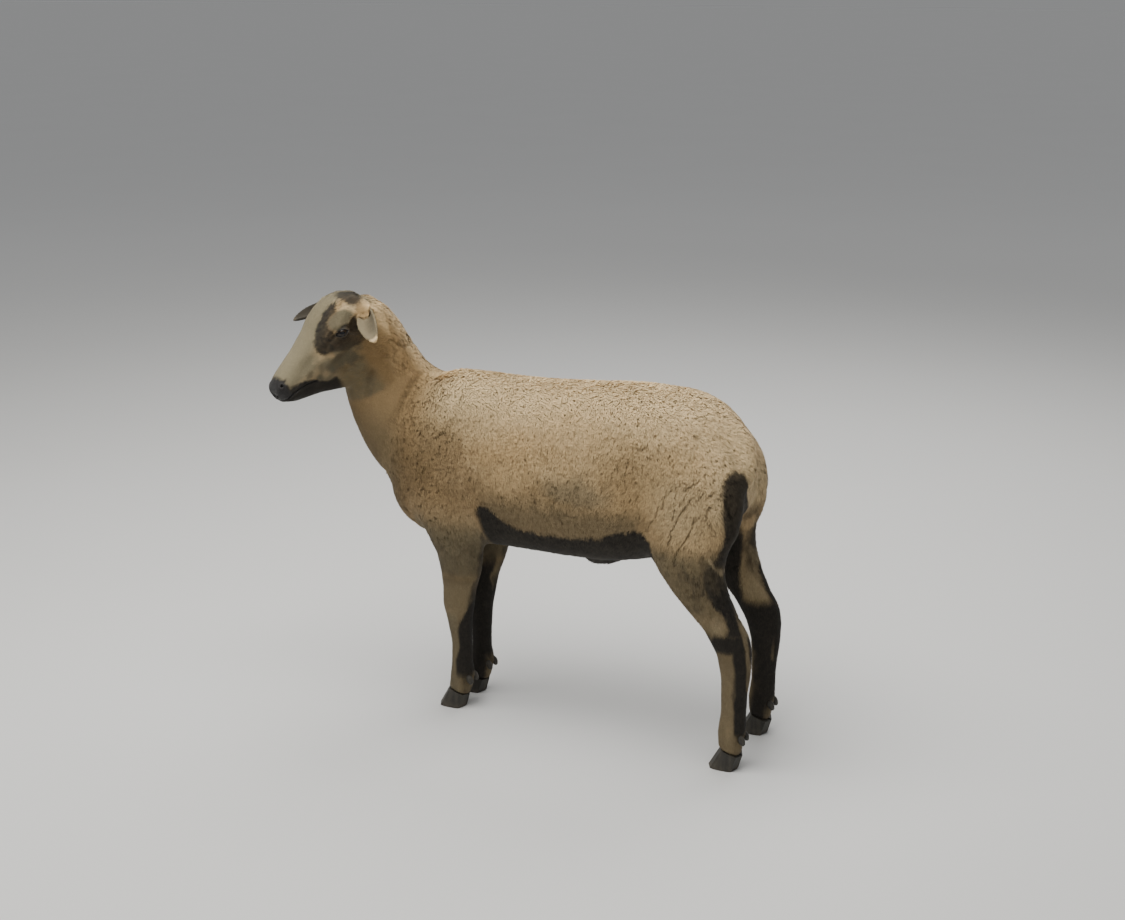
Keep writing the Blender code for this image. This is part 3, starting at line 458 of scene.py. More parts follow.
def leg_marks(places, rough):
    """Black, tan, pale and grey shares on the legs."""
    x, y, z = places.body.T
    out = np.abs(y)
    fore, hind = places.share["foreleg"], places.share["hindleg"]
    mottle = 0.5 + 0.5 * ripple(places.body, (0.012, 0.012, 0.020), 18)
    streaks = 0.5 + 0.5 * ripple(places.body, (0.004, 0.004, 0.014), 19)
    frayed = 0.35 + 0.65 * streaks
    behind_shin = x - np.interp(z, *SHIN_LINE)
    inside = ease(0.074, 0.062, out + 0.4 * rough)

    fore_in = ease(0.040, 0.031, out + 0.4 * rough) * ease(0.31, 0.25, z + rough)
    # Black inside the forearm: part black hair and part painted shade between the legs.
    forearm_in = 0.62 * ease(0.046, 0.034, out + 0.4 * rough) * ease(0.42, 0.39, z) * (0.6 + 0.4 * mottle)
    fore_back = ease(-0.005, 0.005, x - np.interp(z, *FORE_LINE) + 0.4 * rough) * ease(0.435, 0.415, z)
    fore_back *= 0.74 + 0.26 * ease(0.27, 0.21, z)
    fore_pastern = ease(0.085, 0.060, z + rough) * (0.4 + 0.6 * streaks)
    fore_black = most(fore_in, forearm_in, fore_back) * (1 - 0.75 * fore_pastern)

    shin_back = ease(-0.006, 0.006, behind_shin + 0.5 * rough) * ease(0.430, 0.405, z)
    shin_back *= 1 - 0.30 * ease(0.32, 0.35, z) * streaks
    cannon = ease(-0.006, 0.004, x - np.interp(z, *CANNON_LINE) + 0.4 * rough)
    hock = ease(0.264, 0.248, z + rough)
    hock_front = ease(0.226, 0.212, z + 0.7 * rough)
    hind_out = most(shin_back * ease(0.24, 0.26, z), hock * most(cannon, 1 - hock_front))
    shin_inside = ease(0.250, 0.240, x + 0.6 * rough) * ease(0.46, 0.42, z)
    hind_in = most(ease(0.272, 0.250, z + 0.5 * rough), shin_inside)
    hind_black = hind_out * (1 - inside) + hind_in * inside
    hind_pastern = ease(0.080, 0.060, z + 0.7 * rough) * (1 - inside) * frayed
    black = fore * fore_black + hind * (hind_black * (1 - 0.85 * hind_pastern))

    gaskin = ease(0.435, 0.385, z + 0.8 * rough) * ease(0.27, 0.30, z) * (1 - inside)
    near_shin = ease(-0.050, -0.012, behind_shin) * ease(0.29, 0.32, z)
    spots = most(np.full(len(x), 0.60), 0.85 * near_shin) * ease(0.30, 0.75, mottle + 0.15 * near_shin)
    # Painted shade with some dirt: the legs are darker below the body.
    leg_shade_and_dirt = fore * (0.52 * ease(0.44, 0.33, z) - 0.20 * ease(0.27, 0.25, z) * ease(0.17, 0.20, z))
    leg_shade_and_dirt += hind * 0.40 * ease(0.42, 0.33, z) * (1 - 0.6 * inside)
    black = most(black, hind * gaskin * spots * (0.4 + 0.6 * streaks), leg_shade_and_dirt * (0.45 + 0.55 * mottle))

    # Painted highlight: the rim-lit tendon edge is drawn paler and greyer, with less black and tan.
    tendon_highlight = hind * (ease(0.0034, 0.0012, from_line(places.body[:, (0, 2)], TENDON_HIGHLIGHT)) * frayed)
    tan = 0.9 * fore * ease(0.42, 0.34, z) + hind * most(gaskin, 0.9 * ease(0.30, 0.25, z))
    tan = tan * (1 - 0.25 * mottle) * (1 - tendon_highlight)
    tendon_highlight = tendon_highlight * (1 - inside)
    forearm = fore * ease(0.26, 0.29, z) * ease(0.44, 0.36, z)
    shin = fore * ease(0.22, 0.19, z) * ease(-0.258, -0.268, x)
    grey = most(0.72 * forearm, 0.70 * shin, 0.6 * tendon_highlight, 0.60 * hind * gaskin,
                0.55 * fore * ease(0.30, 0.26, z), 0.55 * hind * ease(0.42, 0.36, z))
    grey = grey * (0.85 + 0.15 * streaks)
    hock_patch = blob(places.body * (1, 0, 1), *HOCK_PATCH) * (1 - inside)
    far_shin = inside * ease(0.250, 0.262, x) * ease(0.262, 0.275, z) * ease(0.44, 0.38, z)
    cannon_front = (1 - cannon) * ease(0.215, 0.195, z) * (1 - inside)
    pale = most(0.45 * shin, 0.75 * hind * hock_patch, 0.45 * hind * far_shin, 0.20 * hind * cannon_front,
                0.15 * fore * ease(0.27, 0.25, z) * ease(0.18, 0.20, z), 0.60 * tendon_highlight)
    return black * (1 - 0.72 * tendon_highlight), tan, pale, grey


def body_marks(places):
    """Black, tan, pale and grey shares on the trunk, neck and legs."""
    p = places.body
    x, y, z = p.T
    out = np.abs(y)
    rough = 0.010 * ripple(p, (0.030, 0.030, 0.040), 11) + 0.006 * ripple(p, (0.008, 0.008, 0.016), 12)
    fuzz = ripple(p, (0.004, 0.004, 0.010), 13)
    fine = 0.004 * fuzz
    drift = 0.5 + 0.5 * ripple(p, 0.045, 14)
    flat = p * (1, 0, 1)

    legs = places.share["foreleg"] + places.share["hindleg"]
    under = z - np.interp(x, *np.array(BELLY_EDGE).T) + 0.5 * rough + fine
    belly = ease(0.007, -0.007, under) * ease(0.165, 0.135, x) * most(1 - legs, ease(-0.207, -0.190, x))
    between = ease(0.030, 0.016, out + 0.5 * rough) * ease(0.006, -0.006, under)
    crotch = ease(0.100, 0.140, x) * ease(0.040, 0.012, out + 0.8 * rough) * ease(0.46, 0.42, z)
    # Black beside the tail: part black wool, part painted shade of the cleft between the thighs.
    stripe = ease(-0.004, 0.005, x - np.interp(z, *REAR_LINE) + 0.4 * rough)
    stripe *= ease(0.006, -0.006, y - np.interp(z, *REAR_EDGE) + 0.5 * rough + fine)
    stripe *= ease(0.552, 0.540, z + 0.5 * rough) * ease(0.36, 0.39, z) * (0.90 + 0.10 * drift)
    # Black on the rear of the far thigh: part black wool, part painted shade between the thighs.
    far_rear = ease(-0.010, 0.030, y) * ease(0.225, 0.250, x) * ease(0.335, 0.365, z) * ease(0.480, 0.430, z)
    far_rear *= 0.45 + 0.55 * ease(-0.5, 0.6, ripple(p, (0.014, 0.014, 0.026), 16) + 0.5 * fuzz)
    tail = ease(0.024, 0.008, from_line(p, TAIL_TAN) + 0.5 * rough)
    # A smudge low on the flank, deepened with painted shade: greyer and a little black.
    smudge_and_shade = ease(0.0, 0.9, blob(flat + rough[:, None] * (1, 0, 1), *FLANK_SMUDGE_AND_SHADE))
    # Painted shade low on the trunk: more black along the lower body and low on the brisket.
    shaded = ease(0.478, 0.425, z + rough) * ease(-0.24, -0.19, x) * (0.75 + 0.25 * drift)
    brisket_shade = ease(0.60, 0.46, z + rough) * ease(-0.14, -0.22, x)
    black = most(belly, between, crotch, stripe, 0.70 * far_rear, 0.34 * shaded * ease(0.20, 0.12, x),
                 0.24 * brisket_shade, 0.16 * smudge_and_shade)
    black = most(black * (1 - 0.3 * tail), 0.30 * tail)

    shoulder = ease(-0.160, -0.300, x + 0.5 * (0.52 - z) + 3 * rough) * (0.80 + 0.20 * drift)
    # The tan low on the flank is also painted shade under the body.
    flank = ease(0.520, 0.430, z + 3 * rough) * ease(0.19, 0.10, x)
    buttock = ease(0.235, 0.260, x) * ease(0.50, 0.44, z) * drift
    nape = ease(0.050, 0.012, from_line(p, NECK_CREST))
    tan = most(0.98 * shoulder, 0.75 * flank, 0.55 * blob(flat, *WARM_FLANK), 0.9 * tail, 0.5 * buttock)
    tan = tan * (1 - 0.8 * nape)
    topline = ease(-0.085, 0.035, z - np.interp(x, *TOPLINE) + 1.5 * rough) * ease(-0.36, -0.25, x)
    rump = ease(0.225, 0.275, x + rough) * ease(0.43, 0.48, z) * (1 - 0.8 * tail)
    pale = most(0.85 * topline, 0.85 * rump, 0.22 * blob(flat, *PALE_THIGH), 0.80 * nape)
    # Painted shade: grey low on the trunk behind the forelegs; in the grey below, the low thigh's and lower
    # chest's shares are painted shade too.
    low = ease(0.485, 0.430, z + rough) * ease(-0.21, -0.17, x) * (1 - legs)
    grey = most(0.60 * smudge_and_shade * (0.5 + 0.5 * drift), 0.40 * low, 0.25 * tail,
                0.22 * ease(0.12, 0.18, x) * ease(0.56, 0.50, z),
                0.35 * ease(-0.34, -0.40, x) * ease(0.62, 0.52, z))

    on_leg = np.clip(legs * ease(0.46, 0.38, z), 0, 1)
    leg = np.array(leg_marks(places, rough))
    leg[0] = most(leg[0], black)
    return np.array((black, tan, pale, grey)) * (1 - on_leg) + leg * on_leg


# The strength of an ear's marks: its dark, its hollow's darker centre, its pale edge and its pale over all.
# The far (right) ear's strong dark is painted shade.
EAR_MARKS = {"left": (0.16, 0.50, 0.9, 0.12), "right": (0.90, 0.0, 0.25, 0.0)}
EAR_HALF = 0.029


def ear_marks(places):
    """Black, tan, pale and grey shares on the ears: grey hollow, pale edge, and the far ear dark all over
    with painted shade.
    """
    result = np.zeros((4, len(places.points)))
    speckle = 0.5 + 0.5 * ripple(places.skull, 0.0035, 36)
    for side, (dark, deep, rim, light) in EAR_MARKS.items():
        root, lean, face = ear_axes(side)
        gap = places.skull - root
        mine = places.skull[:, 1] * SIDES[side] > 0
        across = np.abs(gap @ np.cross(lean, face))
        along = gap @ lean / EAR_LENGTH
        half = EAR_HALF * np.sin(np.pi * np.clip(0.20 + 0.775 * along, 0, 1)) ** 0.6
        edge = rim * most(ease(0.0060, 0.0020, half - across), ease(0.88, 0.95, along))
        centre = ease(0.016, 0.004, across + 0.004 * speckle)
        centre = centre * ease(0.20, 0.40, along) * ease(0.85, 0.65, along)
        black = (dark + deep * centre * (0.4 + 0.6 * speckle)) * (1 - edge)
        for k, mark in enumerate((black, 0.45, np.maximum(edge, light), 0.75 * (1 - edge))):
            result[k] = np.where(mine, mark, result[k])
    return result


def markings(places):
    """Shares of black, tan, pale and grey at each place, one row a place."""
    on_ear = places.share["ear"]
    on_head = places.share["head"] * ease(-0.030, 0.006, places.skull[:, 0] + 0.25 * places.skull[:, 2])
    mixed = body_marks(places) * (1 - on_head) + np.array(head_marks(places)) * on_head
    mixed = mixed * (1 - on_ear) + ear_marks(places) * on_ear
    return np.clip(mixed, 0, 1).T


# ---- Skin --------------------------------------------------------------------------------------------------


def without_doubles(points, triangles, digits):
    """Points and triangles once points that agree to so many digits are joined."""
    single, index = np.unique(np.round(points, digits), axis=0, return_inverse=True)
    triangles = index.reshape(-1)[triangles]
    a, b, c = triangles.T
    return single, triangles[(a != b) & (b != c) & (a != c)]


def flesh_shell(swell):
    """The flesh nodes, and the eyes that the lids are drawn over, swollen so that they overlap."""
    points = []
    triangles = []
    groups = []
    count = 0
    for node in (*FLESH, "eye_left", "eye_right"):
        own, faces = without_doubles(*mesh_arrays(NODES[node].data), 6)
        points.append(own + swell * point_normals(own, faces))
        triangles.append(faces + count)
        groups += [Places.GROUPS.index(group_of(node))] * len(faces)
        count += len(own)
    return np.concatenate(points), np.concatenate(triangles), np.array(groups)


def fused(name, points, triangles, voxel):
    """One closed mesh round overlapping shells."""
    rough = new_object(name + "_rough", new_mesh(name + "_rough", points, triangles))
    fuse = rough.modifiers.new("Fuse", "REMESH")
    fuse.mode = "VOXEL"
    fuse.voxel_size = voxel
    fuse.adaptivity = 0.0
    evaluated = rough.evaluated_get(bpy.context.evaluated_depsgraph_get())
    mesh = bpy.data.meshes.new_from_object(evaluated)
    mesh.name = name
    old = rough.data
    bpy.data.objects.remove(rough)
    bpy.data.meshes.remove(old)
    return mesh


def largest_island(mesh):
    """For each point, whether it is on the mesh's largest joined piece."""
    a, b = mesh_edges(mesh).T
    label = np.arange(len(mesh.vertices))
    while True:
        low = np.minimum(label[a], label[b])
        new = label.copy()
        np.minimum.at(new, a, low)
        np.minimum.at(new, b, low)
        new = new[new]
        if (new == label).all():
            break
        label = new
    return label == np.bincount(label).argmax()


def keep_largest(mesh):
    """Leaves only the largest joined piece of a mesh."""
    keep = largest_island(mesh)
    shape = bmesh.new()
    shape.from_mesh(mesh)
    shape.verts.ensure_lookup_table()
    bmesh.ops.delete(shape, geom=[shape.verts[i] for i in np.nonzero(~keep)[0]], context="VERTS")
    shape.to_mesh(mesh)
    shape.free()


def refine(mesh, chosen):
    """Splits the edges whose two ends are chosen."""
    shape = bmesh.new()
    shape.from_mesh(mesh)
    shape.edges.ensure_lookup_table()
    both = chosen[mesh_edges(mesh)].all(axis=1)
    edges = [shape.edges[i] for i in np.nonzero(both)[0]]
    bmesh.ops.subdivide_edges(shape, edges=edges, cuts=1, use_grid_fill=True)
    shape.to_mesh(mesh)
    shape.free()


def nearest_groups(points, shell):
    """The group of the solid surface nearest to each point, as shares."""
    tree = BVHTree.FromPolygons(shell[0].tolist(), shell[1].tolist(), all_triangles=True)
    found = np.array([tree.find_nearest(place)[2] for place in points.tolist()])
    shares = np.zeros((len(points), len(Places.GROUPS)))
    shares[np.arange(len(points)), shell[2][found]] = 1
    return shares


def fine_places(points):
    """Points that need the finest mesh: round the eyes, the nostrils and the mouth."""
    q = to_skull(points)
    q[:, 1] = np.abs(q[:, 1])
    eye = np.linalg.norm(q - EYE_PLACE, axis=1) < 0.026
    nose = (q[:, 0] > 0.198) & (q[:, 2] > -0.020) & (q[:, 2] < 0.022)
    line = np.array(MOUTH)
    mouth = (q[:, 0] > 0.145) & (np.abs(q[:, 2] - np.interp(q[:, 0], line[::-1, 0], line[::-1, 1])) < 0.005)
    return (eye | nose | mouth) & (q[:, 0] < 0.3)


# The eye's own ways: out of the socket, along the lids and up across them.
EYE_LOOK = np.array((0.30, 0.92, 0.22))
LID_TILT = math.radians(17)
LID_FRONT = 1.00
LID_REAR = 0.92
LID_UPPER = 0.40
LID_LOWER = 0.36
EYE_REACH = 0.024
RIM_REACH = 0.022


def eye_ways(side):
    """The eye's centre and its unit ways in the skull's frame."""
    flip = np.array((1, SIDES[side], 1))
    look = EYE_LOOK / np.linalg.norm(EYE_LOOK)
    along = np.array((math.cos(LID_TILT), 0, math.sin(LID_TILT)))
    along = unit(along - along.dot(look) * look)
    up = -np.cross(look, along)
    up = up if up[2] > 0 else -up
    return EYE_PLACE * flip, look * flip, along * flip, up * flip


def lid_gap(along, up):
    """How far a direction lies outside the open lids, in radians; less than 0 inside them."""
    share = np.clip(np.where(along > 0, along / LID_FRONT, -along / LID_REAR), 0, 2)
    upper = LID_UPPER * (1 - share**2.0)
    lower = LID_LOWER * (1 - share**2.4)
    gap = np.where(up > 0, up - upper, -up - lower)
    return np.where(share > 1, np.hypot(np.maximum(gap, 0), (share - 1) * 0.9), gap)


def outside_lids(places, reach):
    """How far each point lies outside the open lids of an eye within reach, and endless if there is none."""
    least = np.full(len(places.points), np.inf)
    for side in SIDES:
        centre, look, along_way, up_way = eye_ways(side)
        gap = places.skull - centre
        near = (np.linalg.norm(gap, axis=1) < reach) & (gap @ look > 0)
        outside = lid_gap(np.arctan2(gap @ along_way, gap @ look), np.arctan2(gap @ up_way, gap @ look))
        least = np.where(near, np.minimum(least, outside), least)
    return least


def shape_lids(skull, radius):
    """Draws the skin over the eyeballs as lids, and sinks it behind them in the opening."""
    for side in SIDES:
        centre, look, along_way, up_way = eye_ways(side)
        gap = skull - centre
        distance = np.linalg.norm(gap, axis=1)
        near = (distance < EYE_REACH) & (gap @ look > 0.15 * distance)
        way = gap[near] / distance[near, None]
        along = np.arctan2(way @ along_way, way @ look)
        up = np.arctan2(way @ up_way, way @ look)
        outside = lid_gap(along, up)
        rim = radius + 0.0013
        ceiling = rim + 0.010 * np.maximum(outside, 0) ** 1.2 + 0.02 * np.maximum(outside - 0.55, 0)
        floor = rim - 0.004 * ease(0.55, 1.05, outside)
        lid = np.clip(distance[near], floor, ceiling)
        lid -= 0.0010 * np.exp(-(((outside - 0.34) / 0.07) ** 2)) * (up > 0)
        lid -= 0.0006 * np.exp(-(((outside - 0.30) / 0.08) ** 2)) * (up < 0)
        lid += 0.0005 * np.exp(-((outside / 0.10) ** 2))
        lid = np.where(outside < 0, radius - 0.0025, lid)
        blend = ease(1.25, 0.85, outside)
        reach = distance[near] * (1 - blend) + lid * blend
        skull[near] = centre + way * reach[:, None]
    return skull


# Lines of the face in the skull's frame: the tear groove, the cheek ridge and the hollow beside the nose.
TEAR_GROOVE = ((0.089, 0.044, 0.022), (0.104, 0.040, 0.016))
CHEEK_RIDGE = ((0.062, 0.050, -0.006), (0.098, 0.043, -0.004), (0.122, 0.036, -0.010))
NOSE_HOLLOW = ((0.118, 0.034, 0.016), (0.160, 0.029, 0.012))
# The neck's two creases in the body's frame.
LONG_CREASE = ((-0.398, -0.070, 0.672), (-0.372, -0.078, 0.662), (-0.352, -0.075, 0.668))
SHORT_CREASE = ((-0.392, -0.080, 0.640), (-0.360, -0.088, 0.632))


def shape_muzzle(skull, normals):
    """Nostrils, the groove under the nose, the mouth and soft hollows of the face."""
    q = skull * (1, 0, 1) + np.abs(skull) * (0, 1, 0)
    x, y, z = q.T
    nostril = from_line(q, NOSTRIL)
    push = -0.0062 * ease(0.0036, 0.0008, nostril)
    push += 0.0010 * np.exp(-(((nostril - 0.0044) / 0.0013) ** 2)) * ease(0.195, 0.205, x)
    groove = ease(0.0020, 0.0002, y) * ease(0.212, 0.217, x)
    groove = groove * ease(0.004, -0.001, z) * ease(-0.016, -0.012, z)
    push -= 0.0016 * groove
    line = np.array(MOUTH)[::-1]
    over = z - np.interp(x, line[:, 0], line[:, 1])
    reach = ease(0.146, 0.153, x) * (x > 0.14)
    push -= 0.0020 * np.exp(-((over / 0.0011) ** 2)) * reach
    push += 0.0007 * np.exp(-(((over - 0.0038) / 0.0022) ** 2)) * reach
    push += 0.0006 * np.exp(-(((over + 0.0038) / 0.0022) ** 2)) * reach
    push -= 0.0016 * ease(0.0060, 0.0, from_line(q, TEAR_GROOVE))
    push += 0.0012 * ease(0.010, 0.0, from_line(q, CHEEK_RIDGE))
    push -= 0.0015 * ease(0.016, 0.0, from_line(q, NOSE_HOLLOW))
    push -= 0.0030 * ease(0.010, 0.0, from_line(q, JAW_FOLD))
    return skull + normals * push[:, None]


def neck_folds(body):
    """How deep the skin creases where the turned neck is folded."""
    depth = 0.0026 * ease(0.010, 0.0, from_line(body, LONG_CREASE))
    return depth + 0.0018 * ease(0.009, 0.0, from_line(body, SHORT_CREASE))


def coat_depth(places, settings):
    """How far the skin lies inside the solid."""
    wool = wool_share(places)
    face = ease(0.02, 0.20, places.skull[:, 0])
    short = settings.hair_depth * (1.15 - 0.55 * face)
    depth = short * (1 - wool) + settings.fleece_depth * wool
    return depth * (1 - places.share["ear"]) + 0.0004 * places.share["ear"]


# Rounds of smoothing over each part, from the thigh down to the shank on a leg.
ROUNDS = {"body": 80, "head": 36, "ear": 5, "tail": 30, "thigh": 70, "shank": 12}
SWELL = 0.0003
# The skin's own brightness and its height in the coat, which a tuft has at every point.
SKIN_GRAIN = 0.5
SKIN_HEIGHT = 0.35


def build_skin(settings):
    """The one skin: fused, softened, sunk by the coat's depth and shaped."""
    shell = flesh_shell(SWELL)
    mesh = fused("skin", shell[0], shell[1], settings.voxel)
    keep_largest(mesh)
    points, _ = mesh_arrays(mesh)
    skull = to_skull(points)
    on_head = (skull[:, 0] > -0.02) & (np.abs(skull[:, 1]) < 0.15) & (np.abs(skull[:, 2]) < 0.16)
    refine(mesh, on_head & (skull[:, 0] < 0.26))
    points, _ = mesh_arrays(mesh)
    refine(mesh, fine_places(points))
    points, triangles = mesh_arrays(mesh)
    web = Web(len(points), mesh_edges(mesh))
    shares = web.soften(nearest_groups(points, shell), 6)

    places = Places(points, shares)
    s = places.share
    rounds = ROUNDS["body"] * (s["trunk"] + s["neck"]) + ROUNDS["head"] * s["head"]
    rounds = rounds + ROUNDS["ear"] * s["ear"] + ROUNDS["tail"] * s["tail"]
    low_leg = ease(0.42, 0.30, places.body[:, 2])
    rounds += (s["foreleg"] + s["hindleg"]) * (ROUNDS["thigh"] * (1 - low_leg) + ROUNDS["shank"] * low_leg)
    for k in range(ROUNDS["body"]):
        share = 0.5 * np.clip(rounds - k, 0, 1)[:, None]
        points = points * (1 - share) + web.mean(points) * share

    places = Places(points, web.soften(shares, 20))
    normals = web.soften(point_normals(points, triangles), 4)
    depth = web.soften(coat_depth(places, settings), 10) + neck_folds(places.body)
    points = points - unit(normals) * depth[:, None]
    normals = unit(point_normals(points, triangles))
    head = shape_muzzle(to_skull(points), normals @ SKULL_TURN)
    share = ease(-0.02, 0.02, to_skull(points)[:, 0]) * (1 - s["ear"])
    points += (from_skull(head) - points) * share[:, None]
    points = from_skull(shape_lids(to_skull(points), settings.eye_radius))

    mesh.vertices.foreach_set("co", points.astype(np.float32).ravel())
    mesh.polygons.foreach_set("use_smooth", np.ones(len(mesh.polygons), bool))
    mesh.update()
    places = Places(points, web.soften(shares, 6))
    marks = markings(places)
    write_values(mesh, "marking", marks[:, :3])
    plain = np.tile((SKIN_GRAIN, SKIN_HEIGHT), (len(points), 1))
    write_values(mesh, "coat", np.column_stack([marks[:, 3], plain]))
    for name, groups in (("share_a", Places.GROUPS[:3]), ("share_b", Places.GROUPS[3:6])):
        write_values(mesh, name, np.stack([places.share[g] for g in groups], axis=1))
    return new_object("skin", mesh)


def read_shares(mesh):
    """The shares of the body's groups that the skin keeps for each point."""
    first, second = read_values(mesh, "share_a"), read_values(mesh, "share_b")
    return np.column_stack([first, second, 1 - first.sum(axis=1) - second.sum(axis=1)])


# ---- Coat --------------------------------------------------------------------------------------------------

# How the coat lies along the trunk and thighs: place back and up, then the lie back and up.
LIE_REACH = 0.055
LIE = (
    (-0.440, 0.700, 0.60, -0.80), (-0.370, 0.600, 0.50, -0.86), (-0.300, 0.590, 0.62, -0.78),
    (-0.320, 0.450, 0.25, -0.97), (-0.150, 0.560, 0.50, -0.86), (-0.050, 0.610, 0.60, -0.80),
    (-0.060, 0.480, 0.08, -1.00), (0.050, 0.500, -0.30, -0.95), (0.060, 0.620, 0.45, -0.90),
    (0.110, 0.450, -0.45, -0.90), (0.180, 0.600, 0.80, -0.60), (0.250, 0.570, 0.75, -0.65),
    (0.140, 0.520, -0.25, -0.97), (0.195, 0.450, -0.42, -0.91), (0.262, 0.470, 0.30, -0.95),
    (0.225, 0.370, -0.05, -1.00),
)


def lie_of_coat(places, normals):
    """The way that hair lies at each place, along the skin."""
    p = places.body
    weights = []
    ways = []
    for x, z, back, up in LIE:
        weights.append(np.exp(-((p[:, 0] - x) ** 2 + (p[:, 2] - z) ** 2) / (2 * LIE_REACH**2)))
        ways.append((back, 0.0, up))
    weights = np.array(weights) + 1e-9
    trunk = (weights.T @ np.array(ways)) / weights.sum(axis=0)[:, None]
    leg = np.tile((0.12, 0.0, -1.0), (len(p), 1))
    q = places.skull
    sideways = np.clip(np.abs(q[:, 1]) / 0.045, 0, 1)
    head = np.stack([-np.ones(len(p)), 0.35 * np.sign(q[:, 1]) * sideways, -0.45 * sideways], axis=1)
    head = head @ SKULL_TURN.T
    low = ease(0.40, 0.30, p[:, 2])
    on_leg = (places.share["foreleg"] + places.share["hindleg"]) * low
    on_head = places.share["head"] * ease(-0.035, 0.02, q[:, 0])
    way = trunk * (1 - on_leg)[:, None] + leg * on_leg[:, None]
    way = way * (1 - on_head)[:, None] + head * on_head[:, None]
    for side in SIDES:
        lean = SKULL_TURN @ ear_axes(side)[1]
        mine = places.share["ear"] * (q[:, 1] * SIDES[side] > 0)
        way = way * (1 - mine)[:, None] + lean * mine[:, None]
    swirl = 0.16 * np.stack([ripple(p, 0.035, seed) for seed in (51, 52, 53)], axis=1)
    way = way + swirl
    return unit(way - dot(way, normals)[:, None] * normals)


# Long partings of the thigh's fleece, as lines of place back and up.
THIGH_PARTINGS = (
    ((0.209, 0.505), (0.193, 0.481), (0.184, 0.462), (0.175, 0.439), (0.170, 0.415)),
    ((0.221, 0.475), (0.211, 0.458), (0.205, 0.437), (0.193, 0.418), (0.182, 0.393), (0.181, 0.380)),
    ((0.236, 0.490), (0.230, 0.479), (0.232, 0.464), (0.245, 0.447)),
    ((0.255, 0.506), (0.259, 0.487), (0.264, 0.471)), ((0.163, 0.507), (0.159, 0.487), (0.157, 0.474)),
    ((0.216, 0.531), (0.204, 0.522), (0.193, 0.510)), ((0.182, 0.518), (0.170, 0.508)),
    ((0.225, 0.512), (0.213, 0.496)), ((0.179, 0.489), (0.175, 0.461)), ((0.139, 0.452), (0.125, 0.432)),
    ((0.240, 0.515), (0.228, 0.500)), ((0.150, 0.480), (0.145, 0.455)),
)
# Where narrow partings are scattered: middle, reach, slant, strength, size across and along, width.
PARTED = (
    ((0.175, 0.455), (0.105, 0.115), -0.42, 0.55, (0.013, 0.050), 0.11),
    ((0.110, 0.560), (0.075, 0.060), 0.88, 0.60, (0.009, 0.026), 0.13),
    ((0.075, 0.515), (0.070, 0.090), -0.45, 0.45, (0.010, 0.024), 0.14),
    ((-0.060, 0.500), (0.160, 0.075), 0.05, 0.65, (0.010, 0.028), 0.15),
    ((-0.300, 0.560), (0.120, 0.140), 0.35, 0.60, (0.008, 0.012), 0.17),
    ((0.215, 0.600), (0.090, 0.060), 0.80, 0.35, (0.009, 0.026), 0.14),
    ((-0.410, 0.630), (0.090, 0.120), -0.80, 0.65, (0.009, 0.018), 0.16),
)
# Partings of the neck's left side, as lines of place back and up.
NECK_PARTINGS = (
    ((-0.397, 0.704), (-0.386, 0.692), (-0.377, 0.681)), ((-0.380, 0.660), (-0.370, 0.652)),
    ((-0.386, 0.645), (-0.372, 0.640)), ((-0.372, 0.628), (-0.360, 0.618)),
    ((-0.392, 0.625), (-0.382, 0.618)),
)


def clefts(places):
    """0 over most of the fleece, up to 1 along the narrow partings."""
    p = places.body
    x, _, z = p.T
    bent = p + 0.010 * np.stack([ripple(p, 0.05, seed) for seed in (61, 62, 63)], axis=1)
    total = np.zeros(len(p))
    for seed, ((cx, cz), (rx, rz), slant, strength, (narrow, long), width) in enumerate(PARTED):
        way = np.array((slant, -math.sqrt(1 - slant * slant)))
        across = bent[:, 0] * -way[1] + bent[:, 2] * way[0]
        along = bent[:, 0] * way[0] + bent[:, 2] * way[1]
        grid = np.stack([across / narrow, along / long, bent[:, 1] / 0.05], axis=1)
        ridge = np.abs(ripple(grid, 1.0, 70 + seed))
        where = ease(1.0, 0.4, np.hypot((x - cx) / rx, (z - cz) / rz))
        gate = ease(-0.1, 0.35, ripple(grid, (2.0, 1.3, 1.0), 80 + seed))
        total = np.maximum(total, strength * where * gate * ease(width, 0.02, ridge))
    wander = 0.0022 * np.stack([ripple(p, 0.011, seed) for seed in (64, 65)], axis=1)
    flat = p[:, (0, 2)] + wander
    for k, line in enumerate(THIGH_PARTINGS + NECK_PARTINGS):
        near = 0.75 * ease(0.0027, 0.0006, from_line(flat, line))
        side = (np.abs(p[:, 1]) > 0.055) if k < len(THIGH_PARTINGS) else (p[:, 1] < 0)
        total = np.maximum(total, near * side)
    return total


